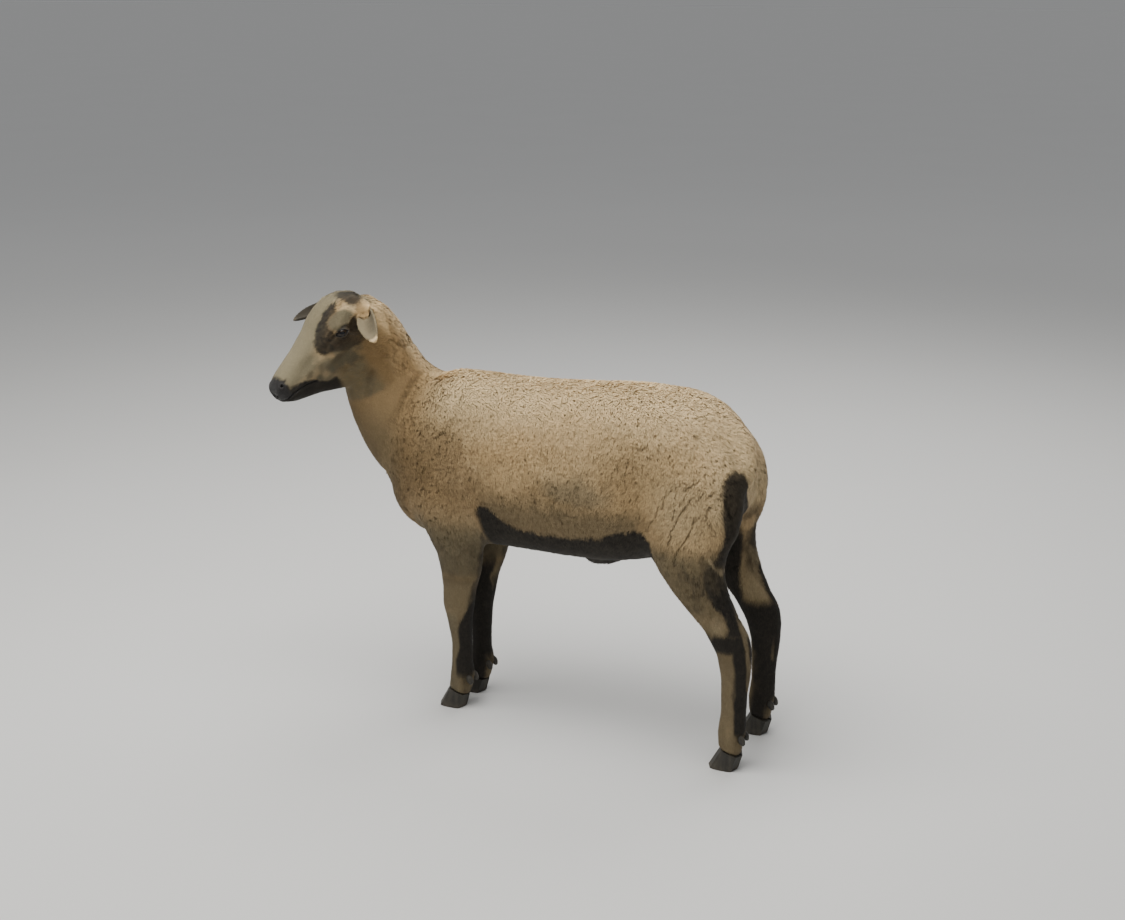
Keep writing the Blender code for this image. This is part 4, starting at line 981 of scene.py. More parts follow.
class Skin:
    """The finished skin's triangles with what the coat needs to know at each point."""

    def __init__(self, obj):
        self.points, self.triangles = mesh_arrays(obj.data)
        web = Web(len(self.points), mesh_edges(obj.data))
        self.normals = unit(web.soften(point_normals(self.points, self.triangles), 6))
        self.shares = np.clip(read_shares(obj.data), 0, 1)
        a, b, c = (self.points[self.triangles[:, k]] for k in range(3))
        self.areas = np.linalg.norm(np.cross(b - a, c - a), axis=1) / 2

    def roots(self, spacing, seed, wanted):
        """Places about one spacing apart on the wanted triangles, with normals and shares."""
        chance = np.random.default_rng(seed)
        areas = self.areas * wanted
        count = int(areas.sum() / spacing**2 * 4)
        chosen = chance.choice(len(areas), count, p=areas / areas.sum())
        mix = chance.random((count, 2))
        over = mix.sum(axis=1) > 1
        mix[over] = 1 - mix[over]
        weights = np.column_stack([1 - mix.sum(axis=1), mix])
        corners = self.triangles[chosen]
        points = (self.points[corners] * weights[:, :, None]).sum(axis=1)
        cells = np.floor(points / (spacing * 1.22)).astype(np.int64)
        _, first = np.unique(cells, axis=0, return_index=True)
        first.sort()
        normals = unit((self.normals[corners[first]] * weights[first, :, None]).sum(axis=1))
        shares = (self.shares[corners[first]] * weights[first, :, None]).sum(axis=1)
        return points[first], normals, shares

    def triangle_mean(self, values):
        """The points' values, as one for each triangle."""
        return values[self.triangles].mean(axis=1)


def clump(points, size):
    """For each root, its lock's middle and a number from -1 to 1 for the lock. Locks are uneven cells."""
    corner = np.floor(points / size - 0.5).astype(np.int64)
    own = corner.copy()
    least = np.full(len(points), np.inf)
    for step in itertools.product((0, 1), repeat=3):
        cells = corner + step
        stray = np.stack([hashed(cells, seed) for seed in (41, 42, 43)], axis=1)
        gap = ((points / size - cells - 0.5 - 0.42 * stray) ** 2).sum(axis=1)
        nearer = gap < least
        least[nearer] = gap[nearer]
        own[nearer] = cells[nearer]
    cells, lock = np.unique(own, axis=0, return_inverse=True)
    lock = lock.reshape(-1)
    count = np.bincount(lock)
    middle = np.stack([np.bincount(lock, points[:, k]) / count for k in range(3)], axis=1)
    return middle[lock], hashed(cells, 44)[lock]


def around(points, start, end, turn_from):
    """An unwrap round an axis: turns round it, and the way along it, both from 0 to 1."""
    start, end = np.asarray(start, dtype=float), np.asarray(end, dtype=float)
    axis = end - start
    length = np.linalg.norm(axis)
    axis /= length
    ahead = np.asarray(turn_from, dtype=float)
    ahead = unit(ahead - ahead.dot(axis) * axis)
    gap = points - start
    turn = np.arctan2(gap @ np.cross(axis, ahead), gap @ ahead) / (2 * np.pi) + 0.5
    return np.column_stack([turn, np.clip(gap @ axis / length, 0, 1)])


def tiled(unwrapped, tile, tiles):
    """Squeezes an unwrap into one of a row of tiles."""
    return np.column_stack([(tile + 0.02 + 0.96 * unwrapped[:, 0]) / tiles, 0.01 + 0.975 * unwrapped[:, 1]])


# The lines that the unwraps go round, and each trunk piece's start and length along the body.
HEAD_AXIS = ((-0.06, 0, -0.02), (0.225, 0, -0.01))
TRUNK_SPANS = {"chest": (-0.44, 0.28), "barrel": (-0.20, 0.32), "rump": (0.05, 0.27)}
EAR_AXIS_AHEAD = 0.006
TRUNK_AXIS = ((-0.43, 0.0, 0.49), (0.31, 0.0, 0.50))
NECK_AXIS = ((-0.30, 0.00, 0.46), (-0.470, -0.04, 0.76))
LEG_AXES = {
    ("fore", "left"): ((-0.265, -0.045, 0.45), (-0.272, -0.042, 0.0)),
    ("fore", "right"): ((-0.265, 0.045, 0.45), (-0.268, 0.034, 0.0)),
    ("hind", "left"): ((0.200, -0.070, 0.50), (0.283, -0.078, 0.0)),
    ("hind", "right"): ((0.200, 0.070, 0.50), (0.290, 0.078, 0.0)),
}


def two_tiles(wraps, left):
    """Two unwraps side by side, the first for the left side's roots."""
    return np.where(left[:, None], tiled(wraps[0], 0, 2), tiled(wraps[1], 1, 2))


def unwrap(piece, places):
    """Where each root lies on the piece's own unwrap of the skin."""
    body = places.body
    if piece == "head":
        return tiled(around(places.skull, *HEAD_AXIS, (0, 0, -1)), 0, 1)
    if piece == "neck":
        return tiled(around(body, *NECK_AXIS, (0, 0, -1)), 0, 1)
    if piece == "ears":
        wraps = []
        for side in SIDES:
            root, lean, face = ear_axes(side)
            ahead = face * EAR_AXIS_AHEAD
            wraps.append(around(places.skull, root + ahead, root + lean * EAR_LENGTH + ahead, -face))
        return two_tiles(wraps, places.skull[:, 1] > 0)
    if piece in ("forelegs", "hindlegs"):
        wraps = [around(body, *LEG_AXES[piece[:4], side], (0, SIDES[side], 0)) for side in SIDES]
        return two_tiles(wraps, body[:, 1] < 0)
    wrap = around(body, *TRUNK_AXIS, (0, 0, 1))
    wrap[:, 0] = (wrap[:, 0] * 2) % 1
    start, length = TRUNK_SPANS[piece.split("_")[0]]
    wrap[:, 1] = np.clip((body[:, 0] - start) / length, 0, 1)
    return tiled(wrap, 0, 1)


# The size on the unwrap that one tuft takes up.
PATCH = 0.003


def grow(name, piece, places, normals, tufts):
    """One mesh of thin tufts, each a bent blade of three triangles."""
    count = len(places.points)
    rng = np.random.default_rng(tufts["seed"])
    lie = lie_of_coat(places, normals) + tufts["stray"] * rng.normal(size=(count, 3))
    lie = unit(lie - dot(lie, normals)[:, None] * normals)
    height = tufts["height"][:, None]
    reach = tufts["reach"][:, None]
    width = tufts["width"][:, None]
    twist = rng.uniform(-0.35, 0.35, count)[:, None]
    across = unit(np.cross(lie, normals) + twist * normals)
    root = places.points - normals * 0.0006
    pull = tufts["pull"]
    middle = root + normals * height * tufts["bend"] + lie * reach * 0.42 + pull * 0.45
    tip = root + normals * height + lie * reach + pull
    way = unit(tip - middle)
    half = across * width / 2
    rows = [root - half, root + half, middle - half * 0.85, middle + half * 0.85, tip]
    heights = [0.0, 0.0, 0.75, 0.75, 1.0]
    corners = [(0, 0), (1, 0), (0, 0.6), (1, 0.6), (0.5, 1)]
    pattern = np.array(((0, 1, 3), (0, 3, 2), (2, 3, 4)))
    size = len(rows)
    points = np.stack(rows, axis=1).reshape(-1, 3)
    triangles = (np.arange(count)[:, None, None] * size + pattern).reshape(-1, 3)
    mesh = new_mesh(name, points, triangles)

    place = unwrap(piece, places)
    patch = place[:, None, :] + PATCH * (np.array(corners) - 0.5)
    layer = mesh.uv_layers.new(name="OFBake")
    flat = np.clip(patch.reshape(-1, 2), 0, 1)[triangles.ravel()]
    layer.data.foreach_set("uv", flat.astype(np.float32).ravel())

    marks = markings(places)
    grain = 0.5 + 0.5 * np.clip(tufts["grain"], -1, 1)
    write_values(mesh, "marking", np.repeat(marks[:, :3], size, axis=0))
    more = np.column_stack([np.repeat(marks[:, 3], size), np.repeat(grain, size), np.tile(heights, count)])
    write_values(mesh, "coat", more)

    blade = unit(np.cross(across, way))
    blade = np.where(dot(blade, normals)[:, None] < 0, -blade, blade)
    shade = unit(0.78 * normals + 0.22 * blade)
    edge = tufts["round"] * across
    tilt = [shade - edge, shade + edge, shade - edge, shade + edge, shade + 0.12 * lie]
    mesh.normals_split_custom_set_from_vertices(unit(np.stack(tilt, axis=1)).reshape(-1, 3))
    return new_object(name, mesh)


# Each unwrap's piece of the coat, and the fewest tufts that make a piece.
PIECES = {
    "neck": "coat_neck", "chest_left": "coat_shoulder_left", "chest_right": "coat_shoulder_right",
    "barrel_left": "coat_flank_left", "barrel_right": "coat_flank_right", "rump_left": "coat_hip_left",
    "rump_right": "coat_hip_right", "forelegs": "coat_forelegs", "hindlegs": "coat_hindlegs",
    "head": "coat_face", "ears": "coat_ears",
}


LEAST_TUFTS = 200


def piece_of(places):
    """Which coat piece each root belongs to."""
    p = places.body
    s = np.stack([places.share[g] for g in Places.GROUPS])
    group = np.array(Places.GROUPS)[s.argmax(axis=0)]
    side = np.where(p[:, 1] < 0, "left", "right")
    part = np.where(p[:, 0] < -0.180, "chest_", np.where(p[:, 0] < 0.085, "barrel_", "rump_"))
    trunk = np.char.add(part, side)
    result = np.where(group == "head", "head", trunk)
    result = np.where(group == "ear", "ears", result)
    result = np.where(group == "neck", "neck", result)
    low = p[:, 2] < 0.40
    result = np.where((group == "foreleg") & low, "forelegs", result)
    return np.where((group == "hindleg") & low, "hindlegs", result)


def grow_coat(skin, settings):
    """Every coat piece, fleece on the body and short hair on face, ears and legs."""
    point_places = Places(skin.points, skin.shares)
    wool = skin.triangle_mean(wool_share(point_places))
    made = []
    fleece = skin.roots(settings.fleece_spacing, 1, wool > 0.03)
    hair = skin.roots(settings.hair_spacing, 2, wool < 0.60)
    for kind, (points, normals, shares) in (("fleece", fleece), ("hair", hair)):
        places = Places(points, shares)
        woolly = wool_share(places)
        keep = keep_roots(places, kind, woolly)
        points, normals, shares, woolly = points[keep], normals[keep], shares[keep], woolly[keep]
        pieces = piece_of(Places(points, shares))
        for piece, name in PIECES.items():
            mine = pieces == piece
            if mine.sum() < LEAST_TUFTS:
                continue
            own = Places(points[mine], shares[mine])
            tufts = tuft_sizes(own, woolly[mine], kind, settings)
            made.append(grow(f"{name}_{kind}", piece, own, normals[mine], tufts))
    return made


def keep_roots(places, kind, woolly):
    """Leaves out roots in the eyes, the nostrils and the nose, and thins the two kinds where they meet."""
    chance = np.random.default_rng(5 if kind == "fleece" else 6).random(len(woolly))
    keep = chance < (ease(0.0, 0.35, woolly) if kind == "fleece" else ease(0.65, 0.25, woolly))
    q = places.side_skull
    keep &= outside_lids(places, EYE_REACH) >= 0.15
    keep &= from_line(q, NOSTRIL) > 0.0055
    nose_pad = (q[:, 0] > 0.206) & (q[:, 2] > -0.012)
    return keep & ~nose_pad


def tuft_sizes(places, woolly, kind, settings):
    """Each tuft's height, reach along the skin, width, pull to its lock and brightness, with painted shade in
    the partings and pits.
    """
    count = len(places.points)
    rng = np.random.default_rng(7 if kind == "fleece" else 8)
    chance = rng.uniform(-1, 1, count)
    if kind == "hair":
        face = ease(0.0, 0.20, places.skull[:, 0]) * places.share["head"]
        ear = places.share["ear"]
        small = 1 - 0.35 * face - 0.25 * ear
        middle, tone = clump(places.points, 0.006)
        return {
            "height": settings.hair_depth * (1 - 0.45 * face - 0.55 * ear) * (1 + 0.15 * chance),
            "reach": settings.hair_length * small * rng.uniform(0.75, 1.20, count),
            "width": settings.hair_width * small * rng.uniform(0.8, 1.2, count), "bend": 0.80, "stray": 0.17,
            "pull": 0.10 * (middle - places.points), "grain": 0.30 * tone + 0.40 * chance, "round": 0.25,
            "seed": 22,
        }
    parting = clefts(places)
    middle, tone = clump(places.points, settings.lock_size)
    _, bumps = clump(places.points, 0.012)
    x, z = places.body[:, 0], places.body[:, 2]
    # Pits are short tufts in some locks of the shoulder and loin; their tufts, and those in the partings, are
    # darkened as painted shade in the recess.
    pitted = 0.40 + 0.60 * np.maximum(ease(-0.22, -0.30, x), ease(0.03, 0.08, x) * ease(0.46, 0.50, z))
    pits = pitted * ease(0.72, 1.0, -tone)
    height = settings.fleece_depth * (0.20 + 0.80 * woolly) * (1 + 0.07 * tone + 0.04 * bumps + 0.05 * chance)
    height = height * (1 - 0.48 * parting) * (1 - 0.26 * pits)
    return {
        "height": height,
        "reach": settings.fleece_reach * rng.uniform(0.80, 1.25, count) * (1 - 0.4 * parting),
        "width": settings.fleece_width * rng.uniform(0.8, 1.2, count) * (1 - 0.3 * parting), "bend": 0.88,
        "pull": settings.lock_pull * (middle - places.points) * (0.3 + 0.7 * woolly)[:, None], "stray": 0.22,
        "grain": 0.34 * tone + 0.25 * chance + 0.15 * bumps - 0.9 * parting - 0.55 * pits, "round": 0.16,
        "seed": 21,
    }


# ---- Eyes --------------------------------------------------------------------------------------------------


def build_eye(side, settings):
    """An eyeball with a bulging clear front over the iris, facing its own way."""
    centre, look, along_way, up_way = eye_ways(side)
    rings = 40
    turns = 48
    radius = settings.eye_radius
    points = []
    for i in range(rings + 1):
        angle = math.pi * i / rings
        bulge = 0.0011 * float(ease(0.62, 0.20, angle))
        for k in range(turns):
            turn = 2 * math.pi * k / turns
            way = look * math.cos(angle)
            way = way + (along_way * math.cos(turn) + up_way * math.sin(turn)) * math.sin(angle)
            points.append(centre + way * (radius + bulge))
    rows = np.arange(rings)[:, None] * turns
    cols = np.arange(turns)[None, :]
    a = (rows + cols).ravel()
    b = (rows + (cols + 1) % turns).ravel()
    c, d = b + turns, a + turns
    triangles = np.concatenate([np.column_stack([a, b, c]), np.column_stack([a, c, d])])
    if SIDES[side] < 0:
        triangles = triangles[:, ::-1]
    places, triangles = without_doubles(points, triangles, 7)
    mesh = new_mesh(f"eyeball_{side}", from_skull(places), triangles)
    gap = unit(places - centre)
    level = np.array((math.cos(SKULL_PITCH), 0, math.sin(SKULL_PITCH)))
    level = unit(level - level.dot(look) * look)
    raised = np.cross(look, level)
    write_values(mesh, "iris", np.column_stack([gap @ level, gap @ raised, gap @ look]) * 0.5 + 0.5)
    return new_object(f"eyeball_{side}", mesh)


# ---- Materials ---------------------------------------------------------------------------------------------


class Value:
    """A number in a shader. Arithmetic on it adds Math nodes."""

    def __init__(self, shader, socket):
        self.shader = shader
        self.socket = socket

    def _math(self, operation, first, second):
        node = self.shader.node("ShaderNodeMath", {"operation": operation}, {0: first, 1: second})
        return Value(self.shader, node.outputs[0])

    def __add__(self, other):
        return self._math("ADD", self, other)

    def __radd__(self, other):
        return self._math("ADD", other, self)

    def __sub__(self, other):
        return self._math("SUBTRACT", self, other)

    def __rsub__(self, other):
        return self._math("SUBTRACT", other, self)

    def __mul__(self, other):
        return self._math("MULTIPLY", self, other)

    def __rmul__(self, other):
        return self._math("MULTIPLY", other, self)

    def __gt__(self, other):
        return self._math("GREATER_THAN", self, other)

    def smooth(self, low, high):
        """0 at low, 1 at high, and smooth between."""
        settings = {"interpolation_type": "SMOOTHSTEP"}
        sockets = {"Value": self, "From Min": low, "From Max": high}
        if low > high:
            sockets = {"Value": self, "From Min": high, "From Max": low, "To Min": 1.0, "To Max": 0.0}
        node = self.shader.node("ShaderNodeMapRange", settings, sockets)
        return Value(self.shader, node.outputs[0])


class Shader:
    """A material's nodes, ending in one Principled shader."""

    def __init__(self, name):
        self.material = bpy.data.materials.new(name)
        self.material.use_nodes = True
        self.tree = self.material.node_tree
        self.tree.nodes.clear()
        self.skin = self.node("ShaderNodeBsdfPrincipled")
        output = self.node("ShaderNodeOutputMaterial")
        self.tree.links.new(self.skin.outputs[0], output.inputs[0])

    def node(self, kind, settings=None, sockets=None):
        """A node of that type, its settings made first and its sockets set or linked after."""
        made = self.tree.nodes.new(kind)
        for key, value in (settings or {}).items():
            setattr(made, key, value)
        for key, value in (sockets or {}).items():
            self.put(made.inputs[key], value)
        return made

    def put(self, socket, value):
        if isinstance(value, Value):
            self.tree.links.new(value.socket, socket)
        elif isinstance(value, bpy.types.NodeSocket):
            self.tree.links.new(value, socket)
        else:
            socket.default_value = value

    def finish(self, **sockets):
        """Sets or links sockets of the Principled shader, named with underscores for spaces."""
        for key, value in sockets.items():
            self.put(self.skin.inputs[key.replace("_", " ")], value)
        return self.material

    def parts(self, attribute):
        """The three stored values of an attribute."""
        source = self.node("ShaderNodeAttribute", {"attribute_name": attribute})
        split = self.node("ShaderNodeSeparateColor", None, {0: source.outputs["Color"]})
        return [Value(self, split.outputs[k]) for k in range(3)]

    def place(self, stretch=(1, 1, 1)):
        """Where a point is on the object, stretched."""
        source = self.node("ShaderNodeTexCoord").outputs["Object"]
        if tuple(stretch) == (1, 1, 1):
            return source
        node = self.node("ShaderNodeVectorMath", {"operation": "MULTIPLY"}, {0: source, 1: stretch})
        return node.outputs[0]

    def noise(self, scale, detail=2.0, stretch=(1, 1, 1)):
        sockets = {"Vector": self.place(stretch), "Scale": scale, "Detail": detail}
        return Value(self, self.node("ShaderNodeTexNoise", None, sockets).outputs["Fac"])

    def mix(self, factor, first, second):
        """From the first colour to the second."""
        node = self.node("ShaderNodeMix", {"data_type": "RGBA"}, {0: factor, 6: first, 7: second})
        return node.outputs[2]

    def dim(self, colour, share):
        """A colour made darker or lighter by a number."""
        node = self.node("ShaderNodeVectorMath", {"operation": "SCALE"}, {0: colour, 3: share})
        return node.outputs[0]

    def bump(self, height, strength, distance):
        sockets = {"Strength": strength, "Distance": distance, "Height": height}
        return self.node("ShaderNodeBump", None, sockets).outputs[0]


def solid(colour):
    return (colour[0], colour[1], colour[2], 1.0)


def marked_colour(shader, colours, grain, height):
    """The coat's colour from its stored markings."""
    black, tan, pale = shader.parts("marking")
    grey = shader.parts("coat")[0]
    drift = shader.noise(9.0, 3.0)
    warm = shader.mix(drift.smooth(0.35, 0.70), solid(colours.fleece), solid(colours.fleece_warm))
    base = shader.mix(tan, warm, solid(colours.tan))
    base = shader.mix(pale, base, solid(colours.pale))
    base = shader.mix(grey, base, solid(colours.grey))
    dark = shader.mix(height * grain, solid(colours.black), solid(colours.black_tip))
    return shader.mix(black, base, dark)


def coat_material(name, colours, root_shade, contrast, sheen):
    """Wool or hair: marked, darker at the root, and brighter or darker tuft by tuft."""
    shader = Shader(name)
    _, grain, height = shader.parts("coat")
    colour = marked_colour(shader, colours, grain, height)
    speck = shader.noise(420.0, 2.0)
    light = (height * (1 - root_shade) + root_shade) * (grain * contrast + (1 - 0.5 * contrast))
    light = light * (speck * 0.40 + 0.80)
    return shader.finish(
        Base_Color=shader.dim(colour, light), Roughness=grain * -0.15 + 0.92,
        Specular_IOR_Level=0.25, Sheen_Weight=sheen, Sheen_Roughness=0.45,
        Normal=shader.bump(shader.noise(900.0, 1.0), 0.25, 0.0006),
    )


def skin_material(colours):
    """Skin under the coat: the coat's markings, a fine lie of short hair, and bare leathery parts."""
    shader = Shader("skin_and_short_hair")
    colour = marked_colour(shader, colours, shader.noise(300.0), shader.noise(60.0))
    bare, wet, shade = shader.parts("bare")
    hair = shader.noise(850.0, 3.0, (1, 1, 0.45))
    light = (hair * 0.5 + 0.66) * shade
    cells = shader.node("ShaderNodeTexVoronoi", {"feature": "DISTANCE_TO_EDGE"},
                        {"Vector": shader.place(), "Scale": 620.0})
    grain = Value(shader, cells.outputs["Distance"]).smooth(0.0, 0.25)
    leather = shader.mix(grain, solid(colours.nose_crease), solid(colours.nose))
    colour = shader.mix(bare, shader.dim(colour, light), leather)
    rough = 0.88 - bare * 0.34 - wet * 0.34 + shader.noise(180.0) * 0.08
    height = hair * (1 - bare) * 0.7 + grain * bare * 0.5
    return shader.finish(
        Base_Color=colour, Roughness=rough, Specular_IOR_Level=0.35, Sheen_Weight=0.06,
        Normal=shader.bump(height, 0.6, 0.0010),
    )


PUPIL_HALF = (0.34, 0.15)
PUPIL_COLOUR = (0.004, 0.005, 0.007, 1.0)


def eye_material(colours):
    """A dark amber iris, darkened further as painted shade of the brow, with a level, long pupil, under a wet
    clear front.
    """
    shader = Shader("eye_wet")
    level, raised, ahead = shader.parts("iris")
    u, v, w = (part * 2.0 - 1.0 for part in (level, raised, ahead))
    root = shader.node("ShaderNodeMath", {"operation": "SQRT"}, {0: u * u + v * v})
    from_middle = Value(shader, root.outputs[0])
    fibres = shader.noise(900.0, 3.0).smooth(0.35, 0.65)
    iris = shader.mix(fibres, solid(colours.iris_dark), solid(colours.iris))
    ring = shader.mix(from_middle.smooth(0.44, 0.60), iris, solid(colours.eye_rim))
    round_u = u * (1 / PUPIL_HALF[0])
    round_v = v * (1 / PUPIL_HALF[1])
    oval = round_u * round_u * round_u * round_u + round_v * round_v
    colour = shader.mix(oval.smooth(1.25, 0.80), ring, PUPIL_COLOUR)
    colour = shader.mix(w > 0.0, solid(colours.eye_rim), colour)
    return shader.finish(
        Base_Color=colour, Roughness=from_middle * 0.10 + 0.15, Specular_IOR_Level=0.22, Coat_Weight=0.25,
        Coat_Roughness=0.06,
    )


def hoof_material(colours):
    """Dark horn with growth rings and fine upright streaks, paler and duller where it is worn."""
    shader = Shader("hoof_horn")
    streaks = shader.noise(140.0, 4.0, (1, 1, 0.10))
    rings = shader.noise(60.0, 2.0, (0.25, 0.25, 3.2))
    z = Value(shader, shader.node("ShaderNodeSeparateXYZ", None, {0: shader.place()}).outputs[2])
    dust = z.smooth(0.016, 0.0) * shader.noise(90.0, 3.0).smooth(0.35, 0.65)
    colour = shader.mix(streaks.smooth(0.3, 0.7), solid(colours.horn), solid(colours.horn_streak))
    colour = shader.mix(dust * 0.55, colour, solid(colours.horn_worn))
    return shader.finish(
        Base_Color=colour, Roughness=streaks * 0.25 + 0.42 + dust * 0.2, Specular_IOR_Level=0.4,
        Normal=shader.bump(rings * 0.7 + streaks * 0.3, 0.5, 0.0012),
    )


# How bright the floor's painted glow is far away, and where the glow starts and ends.
FAR_GLOW = (0.076, 0.077, 0.079, 1)
GLOW_SPAN = (1.8, 6.5)


def floor_material(colour):
    """Pale and dull, with a painted glow far away so that it meets the background without a line."""
    shader = Shader("studio_floor")
    tone = shader.mix(shader.noise(1.5, 4.0) * 0.6, solid(colour), solid([0.94 * c for c in colour]))
    far = shader.node("ShaderNodeVectorMath", {"operation": "LENGTH"}, {0: shader.place()}).outputs["Value"]
    far_glow = shader.mix(Value(shader, far).smooth(*GLOW_SPAN), (0, 0, 0, 1), FAR_GLOW)
    return shader.finish(
        Base_Color=tone, Roughness=shader.noise(30.0) * 0.1 + 0.75, Specular_IOR_Level=0.2,
        Emission_Color=far_glow, Emission_Strength=1.0,
    )


# ---- Settings ----------------------------------------------------------------------------------------------


def colour_setting(name, description, default):
    return FloatVectorProperty(name=name, description=description, default=default, size=3, min=0.0,
                               max=1.0, subtype="COLOR")


def length_setting(name, description, default):
    return FloatProperty(name=name, description=description, default=default, min=0.0, unit="LENGTH",
                         subtype="DISTANCE", precision=4)


class SheepSizes(PropertyGroup):
    """Sizes of the skin, coat and eyes."""

    voxel: length_setting("Skin detail", "Spacing of the skin's points over the body", 0.0030)
    fleece_depth: length_setting("Fleece depth", "How far the fleece stands off the skin", 0.0085)
    hair_depth: length_setting("Short hair depth", "How far the short hair stands off the skin", 0.0016)
    fleece_spacing: length_setting("Fleece spacing", "Distance between tufts of fleece", 0.00128)
    fleece_width: length_setting("Tuft width", "Width of one tuft of fleece", 0.00180)
    hair_spacing: length_setting("Hair spacing", "Distance between short hairs", 0.0015)
    hair_length: length_setting("Hair length", "Length of the short hair", 0.0050)
    hair_width: length_setting("Hair width", "Width of one lock of short hair", 0.0010)
    eye_radius: length_setting("Eye radius", "Radius of the eyeball", 0.0135)
    fleece_reach: length_setting("Fleece reach", "How far a tuft of fleece reaches along the skin", 0.0072)
    lock_size: length_setting("Lock size", "Width of the small locks that the fleece parts into", 0.0048)
    lock_pull: FloatProperty(
        name="Lock pull", description="How far a tuft's tip is drawn to the middle of its lock", default=0.05,
        min=0.0, max=1.0,
    )


class SheepColours(PropertyGroup):
    """Colours of the coat, eyes and hooves."""

    # Grey and black also carry painted shade on the lower trunk and legs, in the jaw's crease and on the far
    # ear; cream and grey carry the painted highlight on the hind tendons.
    fleece: colour_setting("Fleece", "Shorn fleece over the sides", (0.66, 0.475, 0.255))
    fleece_warm: colour_setting("Warm fleece", "Warmer drifts in the fleece", (0.61, 0.420, 0.210))
    tan: colour_setting("Tan", "Neck, shoulder and leg colour", (0.31, 0.205, 0.093))
    pale: colour_setting("Cream", "Topline, rump and blaze", (0.79, 0.605, 0.345))
    grey: colour_setting("Grey", "Eyelids, ears and muzzle shading", (0.155, 0.146, 0.096))
    black: colour_setting("Black", "Belly, legs and face markings", (0.017, 0.015, 0.013))
    black_tip: colour_setting("Black tips", "Sunburnt tips of the black wool", (0.042, 0.035, 0.026))
    nose: colour_setting("Nose", "Bare skin of the nose and lips", (0.022, 0.020, 0.019))
    nose_crease: colour_setting("Nose creases", "Fine creases of the bare skin", (0.008, 0.007, 0.007))
    # The iris colours are darkened well below a lit amber as painted shade of the brow.
    iris: colour_setting("Iris", "Amber of the iris", (0.030, 0.017, 0.008))
    iris_dark: colour_setting("Dark iris", "Darker fibres of the iris", (0.012, 0.008, 0.005))
    eye_rim: colour_setting("Eye rim", "Edge of the iris and hidden white", (0.016, 0.012, 0.009))
    horn: colour_setting("Horn", "Hooves and dewclaws", (0.022, 0.020, 0.016))
    horn_streak: colour_setting("Horn streaks", "Paler streaks of the hooves", (0.050, 0.044, 0.034))
    horn_worn: colour_setting("Worn horn", "Worn and dusty lower edges", (0.12, 0.105, 0.080))


class StudioSettings(PropertyGroup):
    """The floor, the light and the camera."""

    floor: colour_setting("Floor", "Plain pale floor", (0.70, 0.70, 0.69))
    stand_off: length_setting("Camera distance", "Level distance from the middle of the trunk", 2.7170)
    eye_level: length_setting("Camera height", "Height of the camera over the floor", 1.3385)
    lens: FloatProperty(name="Lens", description="Focal length in millimetres", default=51.2, min=10.0)
    around: FloatProperty(
        name="Camera place", description="Turn of the camera's place round the sheep",
        default=math.radians(22.0), subtype="ANGLE",
    )
    heading: FloatProperty(
        name="Camera heading", description="Turn of the way the camera looks",
        default=math.radians(23.52), subtype="ANGLE",
    )
    tilt: FloatProperty(
        name="Camera tilt", description="How far the camera looks down", default=math.radians(17.0),
        subtype="ANGLE",
    )


# ---- Operators ---------------------------------------------------------------------------------------------


def adopt(obj, material, nodes=()):
    """A piece gets its material, rides on the body and stands for its solids."""
    obj.data.materials.clear()
    obj.data.materials.append(material)
    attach(obj, "root")
    if nodes:
        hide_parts(*nodes)


def need(name):
    """An object that an earlier operator made."""
    obj = bpy.data.objects.get(name)
    if obj is None:
        raise RuntimeError(f"{name} isn't there yet: run the operators from the top")
    return obj


def bare_skin(obj):
    """Where the skin is bare, where it is wet, and how dark the coat lets it be."""
    points, _ = mesh_arrays(obj.data)
    places = Places(points, read_shares(obj.data))
    q = places.side_skull
    nose = ease(0.199, 0.206, q[:, 0] + 0.15 * q[:, 2]) * ease(-0.016, -0.011, q[:, 2])
    lips = ease(0.0028, 0.0012, np.abs(q[:, 2] - np.interp(q[:, 0], *np.array(MOUTH)[::-1].T)))
    lips *= ease(0.146, 0.153, q[:, 0])
    rims = ease(0.13, 0.07, outside_lids(places, RIM_REACH))
    nostril = ease(0.0052, 0.0032, from_line(q, NOSTRIL))
    head = np.clip(places.share["head"], 0, 1)
    bare = most(nose, lips, rims, nostril) * head
    wet = np.maximum(rims, 0.6 * nostril) * head
    wool = wool_share(places)
    shade = 1 - 0.05 * wool - 0.45 * wool * clefts(places)
    write_values(obj.data, "bare", np.stack([bare, wet, shade], axis=1))


class SHEEP_OT_skin(Operator):
    """Makes the one skin that stands for every flesh node"""

    bl_idname = "sheep.skin"
    bl_label = "Skin"

    def execute(self, context):
        scene = context.scene
        skin = build_skin(scene.sheep_sizes)
        adopt(skin, skin_material(scene.sheep_colours), FLESH)
        bare_skin(skin)
        return {"FINISHED"}


class SHEEP_OT_eyes(Operator):
    """Makes the two eyeballs"""

    bl_idname = "sheep.eyes"
    bl_label = "Eyes"

    def execute(self, context):
        scene = context.scene
        material = eye_material(scene.sheep_colours)
        for side in SIDES:
            adopt(build_eye(side, scene.sheep_sizes), material, [f"eye_{side}"])
        return {"FINISHED"}


class SHEEP_OT_hooves(Operator):
    """Gives the hooves and dewclaws their horn"""

    bl_idname = "sheep.hooves"
    bl_label = "Hooves"

    def execute(self, context):
        material = hoof_material(context.scene.sheep_colours)
        for name, node in NODES.items():
            if name.startswith(("hoof_", "dewclaw_")):
                for slot in node.material_slots:
                    slot.material = material
        return {"FINISHED"}


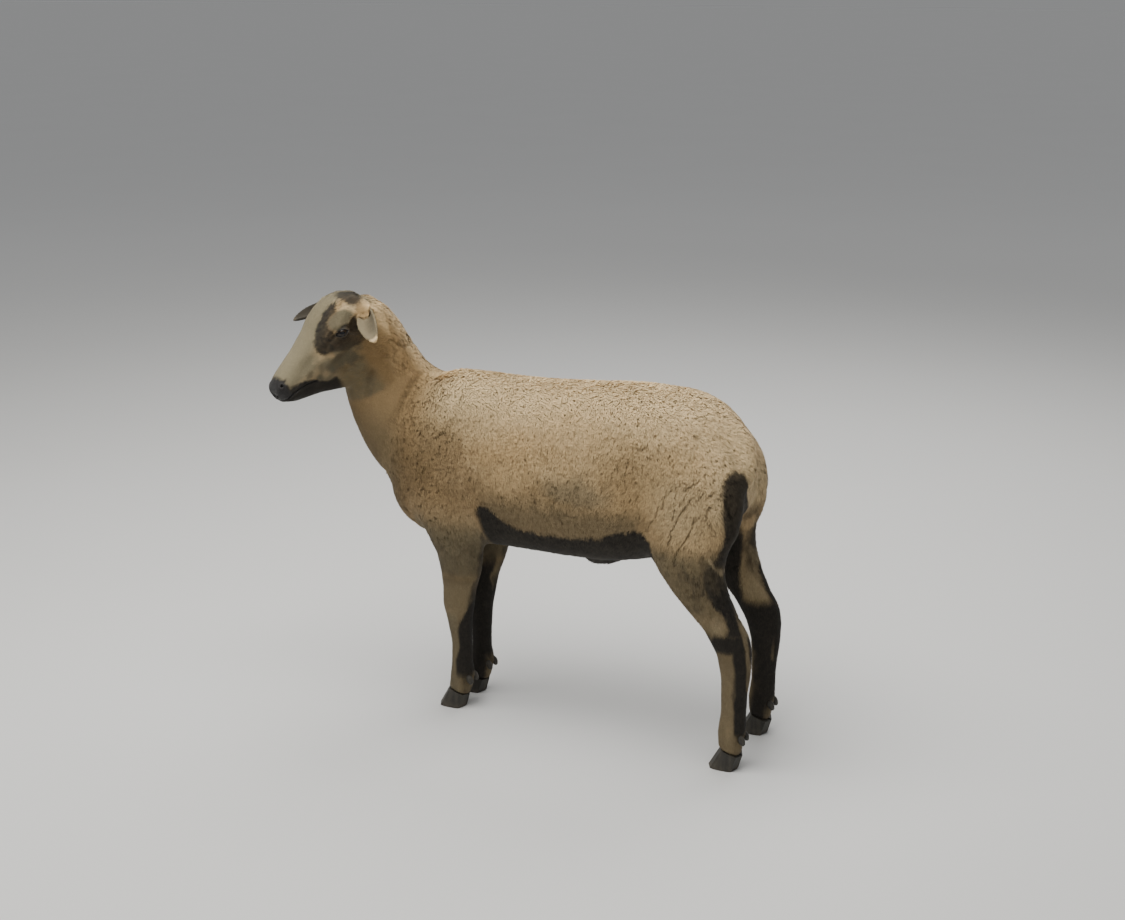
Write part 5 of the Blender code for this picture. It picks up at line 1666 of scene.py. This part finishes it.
class SHEEP_OT_coat(Operator):
    """Grows the fleece and the short hair over the skin"""

    bl_idname = "sheep.coat"
    bl_label = "Coat"

    def execute(self, context):
        scene = context.scene
        skin = Skin(need("skin"))
        wool = coat_material("fleece", scene.sheep_colours, 0.86, 0.62, 0.08)
        hair = coat_material("short_hair", scene.sheep_colours, 0.70, 0.50, 0.05)
        for obj in grow_coat(skin, scene.sheep_sizes):
            adopt(obj, wool if obj.name.endswith("fleece") else hair)
        return {"FINISHED"}


FLOOR_REACH = 60.0
FLOOR_GAP = 0.0004
SENSOR_WIDTH = 36.0
AIR = (0.86, 0.87, 0.88, 1.0)
AIR_STRENGTH = 0.30
# Each lamp's name, place, size, power and colour.
LAMPS = (
    ("key", (-0.4, -0.6, 3.1), 2.6, 136.0, (1.0, 0.98, 0.94)),
    ("fill", (2.6, -2.2, 1.5), 2.0, 4.0, (1.0, 0.99, 0.97)),
    ("back", (0.3, 2.0, 2.6), 2.2, 40.0, (1.0, 0.99, 0.97)),
)


class SHEEP_OT_studio(Operator):
    """Sets up the floor, the light and the camera"""

    bl_idname = "sheep.studio"
    bl_label = "Studio"

    def execute(self, context):
        scene = context.scene
        studio = scene.sheep_studio
        low, high = (np.array(corner) for corner in CAD_BOX)
        middle = (low + high) / 2
        signs = ((-1, -1), (1, -1), (1, 1), (-1, 1))
        corners = [(sx * FLOOR_REACH, sy * FLOOR_REACH, low[2] - FLOOR_GAP) for sx, sy in signs]
        floor = new_object("floor", new_mesh("floor", np.array(corners), np.array(((0, 1, 2), (0, 2, 3)))))
        floor.data.materials.append(floor_material(studio.floor))

        for name, place, size, power, colour in LAMPS:
            lamp = bpy.data.lights.new(name, "AREA")
            lamp.size = size
            lamp.energy = power
            lamp.color = colour
            obj = new_object(name, lamp)
            obj.location = Vector(place)
            obj.rotation_euler = (Vector(middle) - obj.location).to_track_quat("-Z", "Y").to_euler()

        world = bpy.data.worlds.new("studio_air")
        world.use_nodes = True
        air = world.node_tree.nodes["Background"]
        air.inputs["Color"].default_value = AIR
        air.inputs["Strength"].default_value = AIR_STRENGTH
        scene.world = world

        camera = bpy.data.cameras.new("camera")
        camera.lens = studio.lens
        camera.sensor_width = SENSOR_WIDTH
        camera.clip_start = 0.05
        obj = new_object("camera", camera)
        obj.location = (
            BODY_ORIGIN[0] + studio.stand_off * math.sin(studio.around),
            BODY_ORIGIN[1] - studio.stand_off * math.cos(studio.around),
            low[2] + studio.eye_level,
        )
        obj.rotation_euler = (math.pi / 2 - studio.tilt, 0, studio.heading)
        scene.camera = obj
        return {"FINISHED"}


class SHEEP_PT_panel(Panel):
    """The steps, in order, with their settings"""

    bl_label = "Shorn Sheep"
    bl_idname = "SHEEP_PT_panel"
    bl_space_type = "VIEW_3D"
    bl_region_type = "UI"
    bl_category = "Sheep"

    def draw(self, context):
        for step in STEPS:
            self.layout.operator(step.bl_idname)
        for group in (context.scene.sheep_sizes, context.scene.sheep_colours, context.scene.sheep_studio):
            box = self.layout.box()
            for name in group.__annotations__:
                box.prop(group, name)


STEPS = (SHEEP_OT_skin, SHEEP_OT_eyes, SHEEP_OT_hooves, SHEEP_OT_coat, SHEEP_OT_studio)
CLASSES = (SheepSizes, SheepColours, StudioSettings) + STEPS + (SHEEP_PT_panel,)


def register():
    for kind in CLASSES:
        bpy.utils.register_class(kind)
    bpy.types.Scene.sheep_sizes = PointerProperty(type=SheepSizes)
    bpy.types.Scene.sheep_colours = PointerProperty(type=SheepColours)
    bpy.types.Scene.sheep_studio = PointerProperty(type=StudioSettings)


def unregister():
    del bpy.types.Scene.sheep_studio
    del bpy.types.Scene.sheep_colours
    del bpy.types.Scene.sheep_sizes
    for kind in reversed(CLASSES):
        bpy.utils.unregister_class(kind)


def main():
    register()
    bpy.ops.sheep.skin()
    bpy.ops.sheep.eyes()
    bpy.ops.sheep.hooves()
    bpy.ops.sheep.coat()
    bpy.ops.sheep.studio()


if __name__ == "__main__":
    main()
